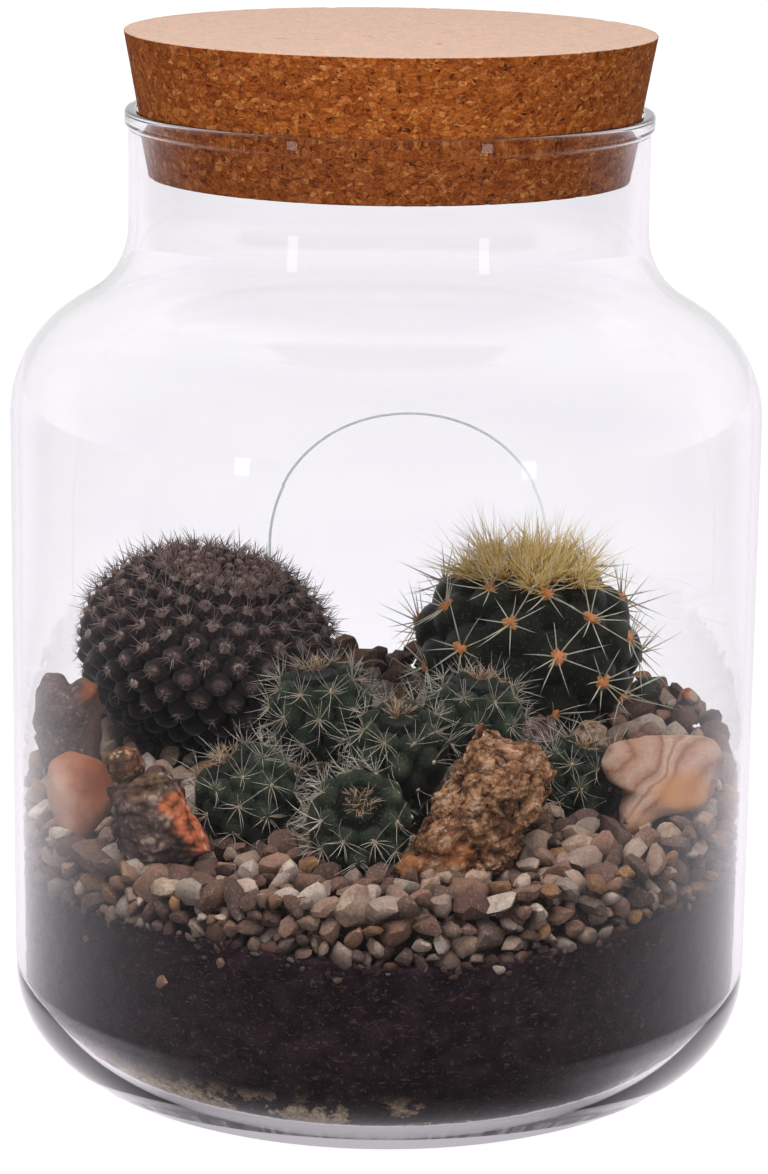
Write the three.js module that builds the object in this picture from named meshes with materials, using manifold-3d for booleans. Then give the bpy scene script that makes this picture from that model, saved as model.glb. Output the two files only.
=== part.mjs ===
// Glass plant terrarium: a wide-necked jar closed by a tapered cork, with a bed of pale drainage gravel,
// peat soil and pebbles inside it, three cacti and a few larger rocks.
// Millimetres, +Z up. The origin is the middle of the jar's underside, and the front faces -Y.

import * as THREE from 'three';
import { mergeVertices } from 'three/addons/utils/BufferGeometryUtils.js';
import Module from 'manifold-3d';

const wasm = await Module();
wasm.setup();

// Jar
const bodyRadius = 100;
const wall = 2.2;
const floorThickness = 4.5;
const cornerRadius = 25.5;
const shoulderHeight = 178.2;
const shoulderRadius = 32.8;
const neckRadius = 68.6;
const neckFilletRadius = 22.3;
const neckFilletHeight = 228.3;
const rimHeight = 258.9;
const lipHeight = 4.6;
const lipFlare = 0.9;
const lipRounding = 1.1;
const lipBevel = 0.5;

// Room between pieces that touch, and between a plant or rock and its seat
const gap = 0.3;
const seatRoom = 0.38;

// Cork
const corkTop = 279.2;
const corkBottom = 242;
const corkTopRadius = 69.7;
const corkRimRadius = neckRadius - wall - gap;
const corkBevel = 1;

// Facets round the jar and on its bends
const turns = 32;
const footSteps = 4;
const shoulderSteps = 3;

// Layers, as heights at the middle of the front glass
const drainageHeight = 10;
const soilHeight = 60;
const gravelHeight = 70.5;
const gravelRise = 17.5;
const gravelRun = 150;
const layerRings = 3;
const layerReach = bodyRadius + 8;

// Pebbles of the bed: their spacing, how far each strays from its place, how high they stand, how low
// the hollows between them reach and how wide their tops are, as shares of the height and the width
const pebblePitch = 14;
const pebbleStray = 4.5;
const pebbleHeight = 5.5;
const hollowShare = 0.62;
const topShare = 0.6;

// Roots of the globes and of the cluster
const globeRootRadius = 9;
const clusterRootRadius = 6;
const rootDepth = 20;
const rootSides = 6;

// Spines: how deep a tuft's are sunk, how far a star's may lean out over its tubercle, and the room
// that they leave to rocks and to other heads
const tuftSunk = 2;
const starLeanShare = 0.62;
const spineRoom = 1.5;

const innerRadius = bodyRadius - wall;
const bendCentre = bodyRadius - cornerRadius;
const bendInnerRadius = cornerRadius - wall;

// Numbers from 0 to 1 that come out the same each time for one seed
function seededRandom(seed) {
  let state = seed * 7919 + 1;
  return () => {
    state = (state * 1664525 + 1013904223) % 4294967296;
    return state / 4294967296;
  };
}

function radians(degrees) {
  return THREE.MathUtils.degToRad(degrees);
}

// A closed solid from a geometry, with its shared points merged and its empty triangles left out
function solid(geometry) {
  const bare = geometry.clone();
  bare.deleteAttribute('normal');
  bare.deleteAttribute('uv');
  const merged = mergeVertices(bare, 1e-4);
  const corners = merged.index.array;
  const kept = [];
  for (let i = 0; i < corners.length; i += 3) {
    const [a, b, c] = [corners[i], corners[i + 1], corners[i + 2]];
    if (a !== b && b !== c && c !== a) kept.push(a, b, c);
  }
  return new wasm.Manifold(new wasm.Mesh({
    numProp: 3,
    vertProperties: new Float32Array(merged.attributes.position.array),
    triVerts: new Uint32Array(kept),
  }));
}

function geometryFrom(points, triangles) {
  const geometry = new THREE.BufferGeometry();
  geometry.setAttribute('position', new THREE.Float32BufferAttribute(points.flat(), 3));
  geometry.setIndex(triangles.flat());
  return geometry;
}

// Largest body of a cut solid: crumbs that a cut leaves loose are dropped
function mainBody(shape) {
  const bodies = shape.decompose();
  return bodies.reduce((best, body) => (body.volume() > best.volume() ? body : best));
}

function joined(shapes) {
  return shapes.reduce((whole, shape) => whole.add(shape));
}

function cut(shape, cutters) {
  return cutters.reduce((rest, cutter) => rest.subtract(cutter), shape);
}

// Points of an arc in the profile plane, from one angle to another in degrees
function arc(centreR, centreZ, radius, from, to, steps) {
  const points = [];
  for (let i = 0; i <= steps; i += 1) {
    const angle = radians(from + ((to - from) * i) / steps);
    points.push([centreR + radius * Math.cos(angle), centreZ + radius * Math.sin(angle)]);
  }
  return points;
}

// A profile of radius and height, turned round the Z axis
function turned(profile, facets = turns) {
  const points = profile.map(([r, z]) => new THREE.Vector2(r, z));
  return new THREE.LatheGeometry(points, facets).rotateX(Math.PI / 2);
}

// Where the shoulder's convex bend passes into the neck's hollow bend, in degrees above level:
// the line that touches both circles on opposite sides
function shoulderTurn() {
  const across = neckRadius + neckFilletRadius - (bodyRadius - shoulderRadius);
  const up = neckFilletHeight - shoulderHeight;
  const apart = Math.hypot(across, up);
  const lean = Math.acos((shoulderRadius + neckFilletRadius) / apart);
  return THREE.MathUtils.radToDeg(Math.atan2(up, across) - lean);
}

// Body, shoulder and neck, inset from the outside of the glass
function jarSide(inset) {
  const turn = shoulderTurn();
  const shoulderCentre = bodyRadius - shoulderRadius;
  const neckCentre = neckRadius + neckFilletRadius;
  return [
    ...arc(shoulderCentre, shoulderHeight, shoulderRadius - inset, 0, turn, shoulderSteps),
    ...arc(neckCentre, neckFilletHeight, neckFilletRadius + inset, 180 + turn, 180, shoulderSteps - 1),
  ];
}

function lip() {
  const outer = neckRadius + lipFlare;
  return [
    [neckRadius, rimHeight - lipHeight],
    [outer, rimHeight - lipHeight + lipRounding],
    [outer, rimHeight - lipRounding],
    [outer - lipRounding, rimHeight],
    [neckRadius - wall + lipBevel, rimHeight],
    [neckRadius - wall, rimHeight - lipBevel],
  ];
}

function glassJar() {
  const innerBend = arc(bendCentre, floorThickness + bendInnerRadius, bendInnerRadius, -90, 0, footSteps);
  return turned([
    [0, 0],
    ...arc(bendCentre, cornerRadius, cornerRadius, -90, 0, footSteps),
    ...jarSide(0),
    ...lip(),
    ...jarSide(wall).reverse(),
    ...innerBend.reverse(),
    [0, floorThickness],
  ]);
}

// The stopper tapers at one rate from its top to its foot, and fills the mouth at the rim
function corkStopper() {
  const taper = (corkTopRadius - corkRimRadius) / (corkTop - rimHeight);
  const footRadius = corkRimRadius - taper * (rimHeight - corkBottom);
  return turned([
    [0, corkBottom],
    [footRadius - corkBevel, corkBottom],
    [footRadius, corkBottom + corkBevel],
    [corkTopRadius, corkTop - corkBevel],
    [corkTopRadius - corkBevel, corkTop],
    [0, corkTop],
  ]);
}

// The room inside the jar that the layers fill, a gap clear of the glass
function filling() {
  const top = gravelHeight + gravelRise + 3 * pebbleHeight;
  const bend = arc(bendCentre, floorThickness + bendInnerRadius, bendInnerRadius - gap, -90, 0, footSteps);
  return solid(turned([[0, floorThickness + gap], ...bend, [innerRadius - gap, top], [0, top]]));
}

// Slow unevenness, from -1 to 1
function waves(x, y, phase) {
  return (Math.sin(x / 17 + phase) + Math.sin(y / 13 + 2 * phase) * Math.cos(x / 29 - phase)) / 2;
}

function drainageTop(x, y) {
  return drainageHeight - x / 35 + 2.5 * waves(x, y, 1);
}

function soilTop(x, y) {
  return soilHeight + y / 30 + 2.2 * waves(x, y, 4);
}

function gravelTop(x, y) {
  const rise = gravelRise * THREE.MathUtils.smoothstep(y, -bodyRadius, gravelRun - bodyRadius);
  return gravelHeight + rise + x / 40 + 0.6 * waves(x, y, 2);
}

function floorLevel() {
  return 0;
}

function raised(surface, lift) {
  return (x, y) => surface(x, y) + lift;
}

// A disc a little wider than the jar between two uneven surfaces, both on one grid of rings and turns
function layer(lower, upper) {
  const points = [];
  const triangles = [];
  const sheetSize = 1 + layerRings * turns;
  for (const surface of [lower, upper]) {
    points.push([0, 0, surface(0, 0)]);
    for (let ring = 1; ring <= layerRings; ring += 1) {
      for (let turn = 0; turn < turns; turn += 1) {
        const angle = (2 * Math.PI * turn) / turns;
        const x = (layerReach * ring * Math.cos(angle)) / layerRings;
        const y = (layerReach * ring * Math.sin(angle)) / layerRings;
        points.push([x, y, surface(x, y)]);
      }
    }
  }
  const at = (sheet, ring, turn) => sheet * sheetSize + 1 + (ring - 1) * turns + (turn % turns);
  for (let turn = 0; turn < turns; turn += 1) {
    triangles.push([0, at(0, 1, turn + 1), at(0, 1, turn)]);
    triangles.push([sheetSize, at(1, 1, turn), at(1, 1, turn + 1)]);
    for (let ring = 1; ring < layerRings; ring += 1) {
      triangles.push([at(0, ring, turn), at(0, ring, turn + 1), at(0, ring + 1, turn)]);
      triangles.push([at(0, ring + 1, turn), at(0, ring, turn + 1), at(0, ring + 1, turn + 1)]);
      triangles.push([at(1, ring, turn), at(1, ring + 1, turn), at(1, ring, turn + 1)]);
      triangles.push([at(1, ring + 1, turn), at(1, ring + 1, turn + 1), at(1, ring, turn + 1)]);
    }
    triangles.push([at(0, layerRings, turn), at(0, layerRings, turn + 1), at(1, layerRings, turn)]);
    triangles.push([at(1, layerRings, turn), at(0, layerRings, turn + 1), at(1, layerRings, turn + 1)]);
  }
  return solid(geometryFrom(points, triangles));
}

function randomDirection(random) {
  const z = 2 * random() - 1;
  const angle = 2 * Math.PI * random();
  const flat = Math.sqrt(1 - z * z);
  return new THREE.Vector3(flat * Math.cos(angle), flat * Math.sin(angle), z);
}

// A stone: a ball cut back by flat chips, stretched to its half sizes, turned and put in place.
// With grow it is that much larger all round, which gives the seat it lies in.
function stone({ centre, size, turn = [0, 0, 0], chips = 9, seed, grow = 0 }) {
  const random = seededRandom(seed);
  const planes = [];
  for (let i = 0; i < chips; i += 1) {
    planes.push({ normal: randomDirection(random), depth: 0.7 + 0.22 * random() });
  }
  const geometry = new THREE.IcosahedronGeometry(1, 1);
  const position = geometry.attributes.position;
  const point = new THREE.Vector3();
  for (let i = 0; i < position.count; i += 1) {
    point.fromBufferAttribute(position, i).normalize();
    let reach = 1;
    for (const { normal, depth } of planes) {
      const facing = point.dot(normal);
      if (facing > 0) reach = Math.min(reach, depth / facing);
    }
    point.multiplyScalar(reach).multiply(new THREE.Vector3(...size));
    point.setLength(point.length() + grow);
    position.setXYZ(i, point.x, point.y, point.z);
  }
  geometry.rotateX(radians(turn[0])).rotateY(radians(turn[1])).rotateZ(radians(turn[2]));
  return solid(geometry.translate(...centre));
}

// A bar from one point to another
function bar(start, end, radius, sides) {
  const along = end.clone().sub(start);
  const geometry = new THREE.CylinderGeometry(radius, radius, along.length(), sides);
  geometry.applyQuaternion(new THREE.Quaternion().setFromUnitVectors(
    new THREE.Vector3(0, 1, 0),
    along.clone().normalize(),
  ));
  return geometry.translate(...start.clone().lerp(end, 0.5).toArray());
}

// A three-sided spine with its root sunk below the skin
function spine(root, direction, length, thickness) {
  const start = root.clone().addScaledVector(direction, -tuftSunk);
  const geometry = new THREE.ConeGeometry(thickness, length + tuftSunk, 3);
  geometry.translate(0, (length + tuftSunk) / 2, 0);
  geometry.applyQuaternion(new THREE.Quaternion().setFromUnitVectors(
    new THREE.Vector3(0, 1, 0),
    direction,
  ));
  return solid(geometry.translate(start.x, start.y, start.z));
}

// One head of a cactus. Tubercles stand in rows round it, each row turned half a tubercle on from
// the one below, so that they run in crossing spirals, and they shrink with the head towards its crown.
// tilt leans the crown over, as degrees about X and Y. Every so many tubercles bear spines: one that
// stands out, or four that lean apart as a star. A head with few and large ones has them rounded out
// by a shoulder.
class CactusHead {
  constructor({ centre, tilt = [0, 0], ...form }) {
    Object.assign(this, form);
    this.centre = new THREE.Vector3(...centre);
    this.lean = new THREE.Quaternion().setFromEuler(
      new THREE.Euler(radians(tilt[0]), radians(tilt[1]), 0),
    );
    this.up = new THREE.Vector3(0, 0, 1).applyQuaternion(this.lean);
  }

  // The place of a point on the head, by its column, its row and its height above the hollows
  place(column, row, lift) {
    const latitude = radians(this.foot + ((this.crown - this.foot) * row) / this.rows);
    const angle = (2 * Math.PI * (column + row / 2)) / this.columns;
    const r = (this.radius - this.rise + lift) * Math.cos(latitude);
    const z = (this.halfHeight - this.rise + lift) * Math.sin(latitude);
    const point = new THREE.Vector3(r * Math.cos(angle), r * Math.sin(angle), z);
    return point.applyQuaternion(this.lean).add(this.centre);
  }

  // Middle of the ring that closes the foot or the crown, which lies dip below that ring
  poleOf(row) {
    const middle = this.place(0, row, 0).lerp(this.place(this.columns / 2, row, 0), 0.5);
    return middle.addScaledVector(this.up, row ? -this.dip : 0);
  }

  // True where a point lies in the head, or nearer to it than room
  holds(point, room) {
    const from = point.clone().sub(this.centre).applyQuaternion(this.lean.clone().invert());
    const flat = Math.hypot(from.x, from.y) / (this.radius + room);
    return Math.hypot(flat, from.z / (this.halfHeight + room)) < 1;
  }

  // Body with a tubercle on each field of four corners, which lie below it, above it and at its sides.
  // It is closed flat at its foot and crown. clear tells whether a spine may stand between two points.
  body(clear) {
    const points = [];
    const triangles = [];
    const add = (point) => points.push(point.toArray()) - 1;
    const corner = [];
    for (let row = 0; row <= this.rows; row += 1) {
      corner.push([]);
      for (let column = 0; column < this.columns; column += 1) {
        corner[row].push(add(this.place(column, row, 0)));
      }
    }
    for (let row = 1; row < this.rows; row += 1) {
      const [low, same, high] = [corner[row - 1], corner[row], corner[row + 1]];
      for (let column = 0; column < this.columns; column += 1) {
        const next = (column + 1) % this.columns;
        const field = [low[next], same[next], high[column], same[column]];
        const spiny = (row * this.columns + column) % this.spines.every === 0;
        const middle = { column: column + 0.5, row };
        this.tubercle({ add, points, triangles }, field, middle, spiny ? this.spines.star : null, clear);
      }
    }
    const [first, second] = corner;
    const [beforeLast, last] = corner.slice(-2);
    const foot = add(this.poleOf(0));
    const crown = add(this.poleOf(this.rows));
    for (let column = 0; column < this.columns; column += 1) {
      const next = (column + 1) % this.columns;
      triangles.push([first[column], first[next], second[column]], [foot, first[next], first[column]]);
      triangles.push([beforeLast[next], last[next], last[column]], [crown, last[column], last[next]]);
    }
    return solid(geometryFrom(points, triangles));
  }

  // Rounds out a tubercle by a ring at a share of the way from its middle to the corners of its field
  shoulderOf({ add, triangles }, field, { column, row }) {
    const { share, lift } = this.shoulder;
    const ways = [[0.5, -1], [0.5, 0], [-0.5, 1], [-0.5, 0]];
    const ring = ways.map(([right, up]) => (
      add(this.place(column + share * right, row + share * up, lift * this.rise))
    ));
    field.forEach((from, i) => {
      const next = (i + 1) % 4;
      triangles.push([from, field[next], ring[next]], [from, ring[next], ring[i]]);
    });
    return ring;
  }

  // A pyramid on its field, or one with a small pad on top that is drawn out into spines
  tubercle({ add, points, triangles }, wholeField, { column, row }, star, clear) {
    const { length, pad, spread, swirl } = this.spines;
    const middle = this.place(column, row, this.rise);
    const base = this.place(column, row, 0);
    const out = middle.clone().sub(base).normalize();
    const edge = wholeField.map((index) => new THREE.Vector3(...points[index]));
    const rounded = this.shoulder !== undefined;
    const field = rounded ? this.shoulderOf({ add, triangles }, wholeField, { column, row }) : wholeField;
    const tip = add(middle);
    if (star === null) {
      field.forEach((from, i) => triangles.push([from, field[(i + 1) % 4], tip]));
      return;
    }
    const padPoints = edge.map((point) => middle.clone().addScaledVector(point.sub(base), pad));
    const padCorners = padPoints.map(add);
    const width = padPoints[0].distanceTo(padPoints[1]) / pad;
    const reach = Math.min(spread * length, starLeanShare * width) / length;
    const single = star ? null : middle.clone().addScaledVector(out, length);
    const drawn = single && clear(middle, single) ? add(single) : null;
    field.forEach((from, i) => {
      const next = (i + 1) % 4;
      triangles.push([from, field[next], padCorners[next]], [from, padCorners[next], padCorners[i]]);
      if (!star) {
        triangles.push([padCorners[i], padCorners[next], drawn ?? tip]);
        return;
      }
      const lean = padPoints[i].clone().lerp(padPoints[next], 0.5).sub(middle).normalize();
      lean.applyAxisAngle(out, radians(swirl));
      const end = lean.multiplyScalar(reach).addScaledVector(out, Math.sqrt(1 - reach * reach));
      end.multiplyScalar(length).add(middle);
      if (!clear(middle, end)) {
        triangles.push([padCorners[i], padCorners[next], tip]);
        return;
      }
      const needle = add(end);
      triangles.push([padCorners[i], padCorners[next], needle]);
      triangles.push([padCorners[next], tip, needle], [tip, padCorners[i], needle]);
    });
  }

  // A tuft of spines on the crown, upright in its middle and leaning out round its edge
  tuft({ count, length, thickness, width, spread, seed }) {
    const random = seededRandom(seed);
    const middle = this.poleOf(this.rows);
    const goldenAngle = 2.4;
    const made = [];
    for (let i = 0; i < count; i += 1) {
      const out = Math.sqrt((i + 0.5) / count);
      const around = i * goldenAngle;
      const side = new THREE.Vector3(Math.cos(around), Math.sin(around), 0).applyQuaternion(this.lean);
      const root = middle.clone().addScaledVector(side, width * out);
      const direction = this.up.clone().addScaledVector(side, spread * out * (0.7 + 0.6 * random()));
      made.push(spine(root, direction.normalize(), length, thickness));
    }
    return made;
  }

  // A smooth shell just outside the tubercles, for the hollow that the head sits in
  seat(room) {
    const [round, high] = this.radius > 20 ? [14, 8] : [10, 6];
    const outside = 1 / (Math.cos(Math.PI / round) * Math.cos(Math.PI / (2 * high)));
    const geometry = new THREE.SphereGeometry(outside, round, high).rotateX(Math.PI / 2);
    geometry.scale(this.radius + room, this.radius + room, this.halfHeight + room);
    geometry.applyQuaternion(this.lean);
    return solid(geometry.translate(...this.centre.toArray()));
  }
}

// The underground part of a plant: a bar from the middle of each head down to the foot of the root
function roots(heads, foot, radius, room) {
  const low = foot.clone().setZ(foot.z - room);
  return heads.map((head) => solid(bar(low, head.centre, radius + room, rootSides)));
}

const barrel = new CactusHead({
  centre: [40.5, 33, 106],
  radius: 32,
  halfHeight: 25.5,
  columns: 7,
  rows: 7,
  rise: 5,
  foot: -65,
  crown: 75,
  dip: 1,
  tilt: [4, 0],
  shoulder: { share: 0.6, lift: 0.8 },
  spines: { every: 1, star: true, length: 10, pad: 0.09, spread: 0.82, swirl: 22 },
});

const brownGlobe = new CactusHead({
  centre: [-49, 22, 106],
  radius: 36.5,
  halfHeight: 28,
  columns: 24,
  rows: 12,
  rise: 3,
  foot: -56,
  crown: 72,
  dip: 5,
  tilt: [6, 10],
  spines: { every: 3, star: false, length: 4, pad: 0.18, spread: 0, swirl: 0 },
});

// The cluster's heads, each by its place, size and lean
const clusterHeads = [
  { centre: [-16, -24, 101], radius: 14, halfHeight: 16, tilt: [8, -8] },
  { centre: [4.5, -40, 95], radius: 13.5, halfHeight: 15.5, tilt: [20, 0] },
  { centre: [24, -24, 99], radius: 14, halfHeight: 15.5, tilt: [4, 8] },
  { centre: [-35, -43, 84], radius: 14, halfHeight: 14.5, tilt: [10, -28] },
  { centre: [-5.5, -61, 82.5], radius: 14, halfHeight: 14, tilt: [48, 0] },
  { centre: [51.5, -26, 84], radius: 12, halfHeight: 13, tilt: [10, 12] },
].map((head) => new CactusHead({
  ...head,
  columns: 8,
  rows: 5,
  rise: 2.2,
  foot: -62,
  crown: 66,
  dip: 0.5,
  spines: { every: 3, star: true, length: 5.5, pad: 0.2, spread: 0.8, swirl: 22 },
}));

const clusterFoot = new THREE.Vector3(2, -38, 62);

// Every root of a plant, with room round it where it makes the hole that the root stands in
function globeRoots(head, room) {
  const { x, y } = head.centre;
  return roots([head], new THREE.Vector3(x, y, gravelTop(x, y) - rootDepth), globeRootRadius, room);
}

function clusterRoots(room) {
  return roots(clusterHeads, clusterFoot, clusterRootRadius, room);
}

// True where a spine keeps out of the pebbles, the glass, the rocks and the heads near it
function openTo(heads) {
  const sharesAlong = [0.35, 0.7, 1];
  return (root, end) => sharesAlong.every((share) => {
    const point = root.clone().lerp(end, share);
    const bedded = point.z < gravelTop(point.x, point.y) + pebbleHeight;
    const walled = Math.hypot(point.x, point.y) > innerRadius - 1;
    const crowded = heads.some((head) => head.holds(point, spineRoom));
    return !bedded && !walled && !crowded && !nearRock(point);
  });
}

function barrelCactus() {
  const body = barrel.body(openTo([...clusterHeads, brownGlobe]));
  const tuft = barrel.tuft({ count: 26, length: 13, thickness: 0.6, width: 13, spread: 0.9, seed: 6 });
  return joined([body, ...globeRoots(barrel, 0), ...tuft]);
}

function brownCactus() {
  const body = brownGlobe.body(openTo(clusterHeads));
  const tuft = brownGlobe.tuft({ count: 14, length: 6, thickness: 0.5, width: 9, spread: 0.8, seed: 9 });
  return joined([body, ...globeRoots(brownGlobe, 0), ...tuft]);
}

function clusterCactus() {
  const parts = clusterRoots(0);
  clusterHeads.forEach((head, i) => {
    const others = [...clusterHeads.filter((other) => other !== head), barrel, brownGlobe];
    parts.push(head.body(openTo(others)));
    parts.push(...head.tuft({ count: 5, length: 6, thickness: 0.5, width: 3, spread: 0.7, seed: 40 + i }));
  });
  return joined(parts);
}

// What the pebbles and the soil leave free for each plant
function plantSeats() {
  return [
    ...[barrel, brownGlobe].flatMap((head) => [head.seat(seatRoom), ...globeRoots(head, seatRoom)]),
    ...clusterHeads.map((head) => head.seat(seatRoom)),
    ...clusterRoots(seatRoom),
  ];
}

function middleOf(outline) {
  const [x, z] = [0, 1].map((axis) => outline.reduce((sum, p) => sum + p[axis], 0) / outline.length);
  return { x, z };
}

// A broken rock from its outline as seen from the front. The outline's plane lies at y and leans back
// by slope for each millimetre above its middle. The rock narrows to the front and the back in rough
// steps: each slice is a share of the depth from the middle, and has a share of the outline's size.
// With grow it is that much larger all round.
function chunk({ outline, y, slope, depth, seed, grow = 0 }) {
  const roughness = 0.1;
  const unevenness = 1.6;
  const peak = 1;
  const random = seededRandom(seed);
  const middle = middleOf(outline);
  const slices = [[-1, 0.5], [-0.68, 0.86], [0, 1], [0.68, 0.86], [1, 0.5]];
  const points = [];
  for (const [along, share] of slices) {
    for (const [x, z] of outline) {
      const rough = 1 + (share < 1 ? roughness * (random() - 0.5) : 0);
      const from = new THREE.Vector3(x - middle.x, 0, z - middle.z).multiplyScalar(share * rough);
      from.setLength(from.length() + grow);
      const lean = y + slope * from.z;
      const forward = along * (depth + grow) + unevenness * (random() - 0.5);
      points.push([middle.x + from.x, lean + forward, middle.z + from.z]);
    }
  }
  const count = outline.length;
  const triangles = [];
  const at = (slice, i) => slice * count + (i % count);
  for (let slice = 0; slice < slices.length - 1; slice += 1) {
    for (let i = 0; i < count; i += 1) {
      triangles.push([at(slice, i), at(slice, i + 1), at(slice + 1, i)]);
      triangles.push([at(slice, i + 1), at(slice + 1, i + 1), at(slice + 1, i)]);
    }
  }
  const last = slices.length - 1;
  const front = points.push([middle.x, y - depth - grow - peak, middle.z]) - 1;
  const back = points.push([middle.x, y + depth + grow + peak, middle.z]) - 1;
  for (let i = 0; i < count; i += 1) {
    triangles.push([front, at(0, i + 1), at(0, i)], [back, at(last, i), at(last, i + 1)]);
  }
  return solid(geometryFrom(points, triangles));
}

// The larger stones, in the order in which they were laid. Each gives way to those before it.
const rocks = {
  crag_rock: {
    outline: [
      [-1, 72], [2, 78], [9.5, 83], [11, 91], [16, 95], [18.5, 101], [21.5, 106], [25.5, 109.5],
      [30.5, 108.5], [32, 105], [39.5, 105], [43.5, 101], [46, 97], [46, 91], [43.5, 86], [38, 81],
      [35, 74], [27, 70], [15, 68.5], [2, 68],
    ],
    y: -62,
    slope: 0.35,
    depth: 9,
    seed: 31,
  },
  salmon_stone: {
    outline: [
      [-87.5, 80], [-87.8, 90], [-82, 93], [-73, 90.5], [-69, 83], [-70.5, 78], [-76, 70], [-79.5, 66],
      [-83.5, 70],
    ],
    y: -37,
    slope: 0.3,
    depth: 7.5,
    seed: 11,
  },
  tall_stone: {
    outline: [
      [-94, 95.5], [-93.5, 104], [-91, 108.5], [-86.5, 108], [-83.5, 106], [-80, 108], [-75.5, 106],
      [-74.5, 99], [-74.5, 82], [-91, 80],
    ],
    y: -15,
    slope: 0,
    depth: 8.5,
    seed: 12,
  },
  brown_slab: {
    outline: [
      [-71, 91], [-66, 93], [-59, 96], [-54, 96], [-50, 92], [-48, 85], [-41, 74], [-50, 70],
      [-64, 68], [-69, 78],
    ],
    y: -60.5,
    slope: 0.05,
    depth: 8,
    seed: 13,
  },
  ochre_stone: { centre: [-65.5, -58, 97.8], size: [5.6, 5.6, 5.4], seed: 14, chips: 4 },
  banded_stone: {
    outline: [
      [56, 92.5], [60, 96.5], [69, 98.7], [87, 98.5], [89.5, 95], [88.5, 88], [86, 82], [79, 79.5],
      [72, 79], [68, 74.5], [65, 72], [62.5, 74], [62, 80], [63, 86], [58, 88],
    ],
    y: -37,
    slope: 0.4,
    depth: 9,
    seed: 15,
  },
  mauve_rock: { centre: [43, -3, 89.5], size: [7, 6, 6.8], seed: 16, chips: 8 },
  beige_rock: { centre: [56.5, -4, 89], size: [5.6, 6, 6.6], seed: 17, chips: 8 },
  dark_pebble: { centre: [75, 36, 92], size: [4.8, 4.5, 4.5], seed: 18, chips: 5 },
  rust_tip_stone: { centre: [86, 27, 90.5], size: [4, 4.5, 5.2], seed: 19, chips: 6 },
};

function rock(form, grow) {
  return form.outline ? chunk({ ...form, grow }) : stone({ ...form, grow });
}

// True where a point lies in a stone or a rock, or nearer to it than spineRoom
function inStone({ centre, size }, point) {
  const from = point.clone().sub(new THREE.Vector3(...centre));
  return from.divide(new THREE.Vector3(...size).addScalar(spineRoom)).length() < 1;
}

function inChunk({ outline, y, slope, depth }, point) {
  const middle = middleOf(outline);
  const from = new THREE.Vector3(point.x - middle.x, 0, point.z - middle.z);
  if (Math.abs(point.y - y - slope * from.z) > depth + spineRoom) return false;
  from.setLength(Math.max(from.length() - spineRoom, 0));
  const [x, z] = [middle.x + from.x, middle.z + from.z];
  let inside = false;
  outline.forEach(([toX, toZ], i) => {
    const [fromX, fromZ] = outline.at(i - 1);
    const crosses = fromZ > z !== toZ > z && x < fromX + ((toX - fromX) * (z - fromZ)) / (toZ - fromZ);
    if (crosses) inside = !inside;
  });
  return inside;
}

function nearRock(point) {
  return Object.values(rocks).some((form) => (form.outline ? inChunk(form, point) : inStone(form, point)));
}

// Every large stone, cut back where one before it or a plant stands
function laidRocks(seats) {
  const laid = {};
  const taken = [];
  for (const [name, form] of Object.entries(rocks)) {
    laid[name] = mainBody(cut(rock(form, 0), [...seats, ...taken]));
    taken.push(rock(form, seatRoom));
  }
  return { laid, taken };
}

// The bed's surface: a pebble on each field of an uneven six-cornered grid, larger than life so that
// few of them cover it. Each rises from the low corners that it shares with its neighbours to a
// three-cornered top. Below the surface the bed goes straight down to the floor.
function pebbleBed() {
  const random = seededRandom(3);
  const rowPitch = (pebblePitch * Math.sqrt(3)) / 2;
  const reach = Math.ceil(bodyRadius / rowPitch) + 1;
  const middles = new Map();
  for (let row = -reach - 1; row <= reach + 1; row += 1) {
    for (let column = -reach - 1; column <= reach + 1; column += 1) {
      const x = (column + (Math.abs(row) % 2) / 2) * pebblePitch + pebbleStray * (random() - 0.5);
      const y = row * rowPitch + pebbleStray * (random() - 0.5);
      middles.set(`${column},${row}`, { x, y, dome: 0.55 + 0.75 * random() });
    }
  }
  const points = [];
  const triangles = [];
  const shared = new Map();
  const add = (x, y, lift) => points.push([x, y, gravelTop(x, y) + lift]) - 1;
  const corner = (cells) => {
    const key = [...cells].sort().join(' ');
    if (!shared.has(key)) {
      const around = cells.map((cell) => middles.get(cell));
      const [x, y] = ['x', 'y'].map((axis) => around.reduce((sum, m) => sum + m[axis], 0) / 3);
      shared.set(key, add(x, y, -pebbleHeight * hollowShare));
    }
    return shared.get(key);
  };
  for (let row = -reach; row <= reach; row += 1) {
    for (let column = -reach; column <= reach; column += 1) {
      const odd = Math.abs(row) % 2;
      const ring = [[1, 0], [odd, 1], [odd - 1, 1], [-1, 0], [odd - 1, -1], [odd, -1]]
        .map(([right, up]) => `${column + right},${row + up}`);
      const { x, y, dome } = middles.get(`${column},${row}`);
      const corners = ring.map((cell, i) => corner([`${column},${row}`, cell, ring[(i + 1) % 6]]));
      const first = random() < 0.5 ? 0 : 1;
      const low = corners.map((_, i) => corners[(first + i) % 6]);
      const top = [0, 2, 4].map((i) => {
        const [cx, cy] = points[low[i]];
        const lift = pebbleHeight * topShare * (dome + 0.25 * (random() - 0.5));
        return add(x + (cx - x) * topShare, y + (cy - y) * topShare, lift);
      });
      triangles.push(top);
      for (let i = 0; i < 3; i += 1) {
        const next = (i + 1) % 3;
        triangles.push([low[2 * i], low[2 * i + 1], top[i]], [low[2 * i + 1], top[next], top[i]]);
        triangles.push([low[2 * i + 1], low[(2 * i + 2) % 6], top[next]]);
      }
    }
  }
  return standingOnFloor(points, triangles);
}

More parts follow.
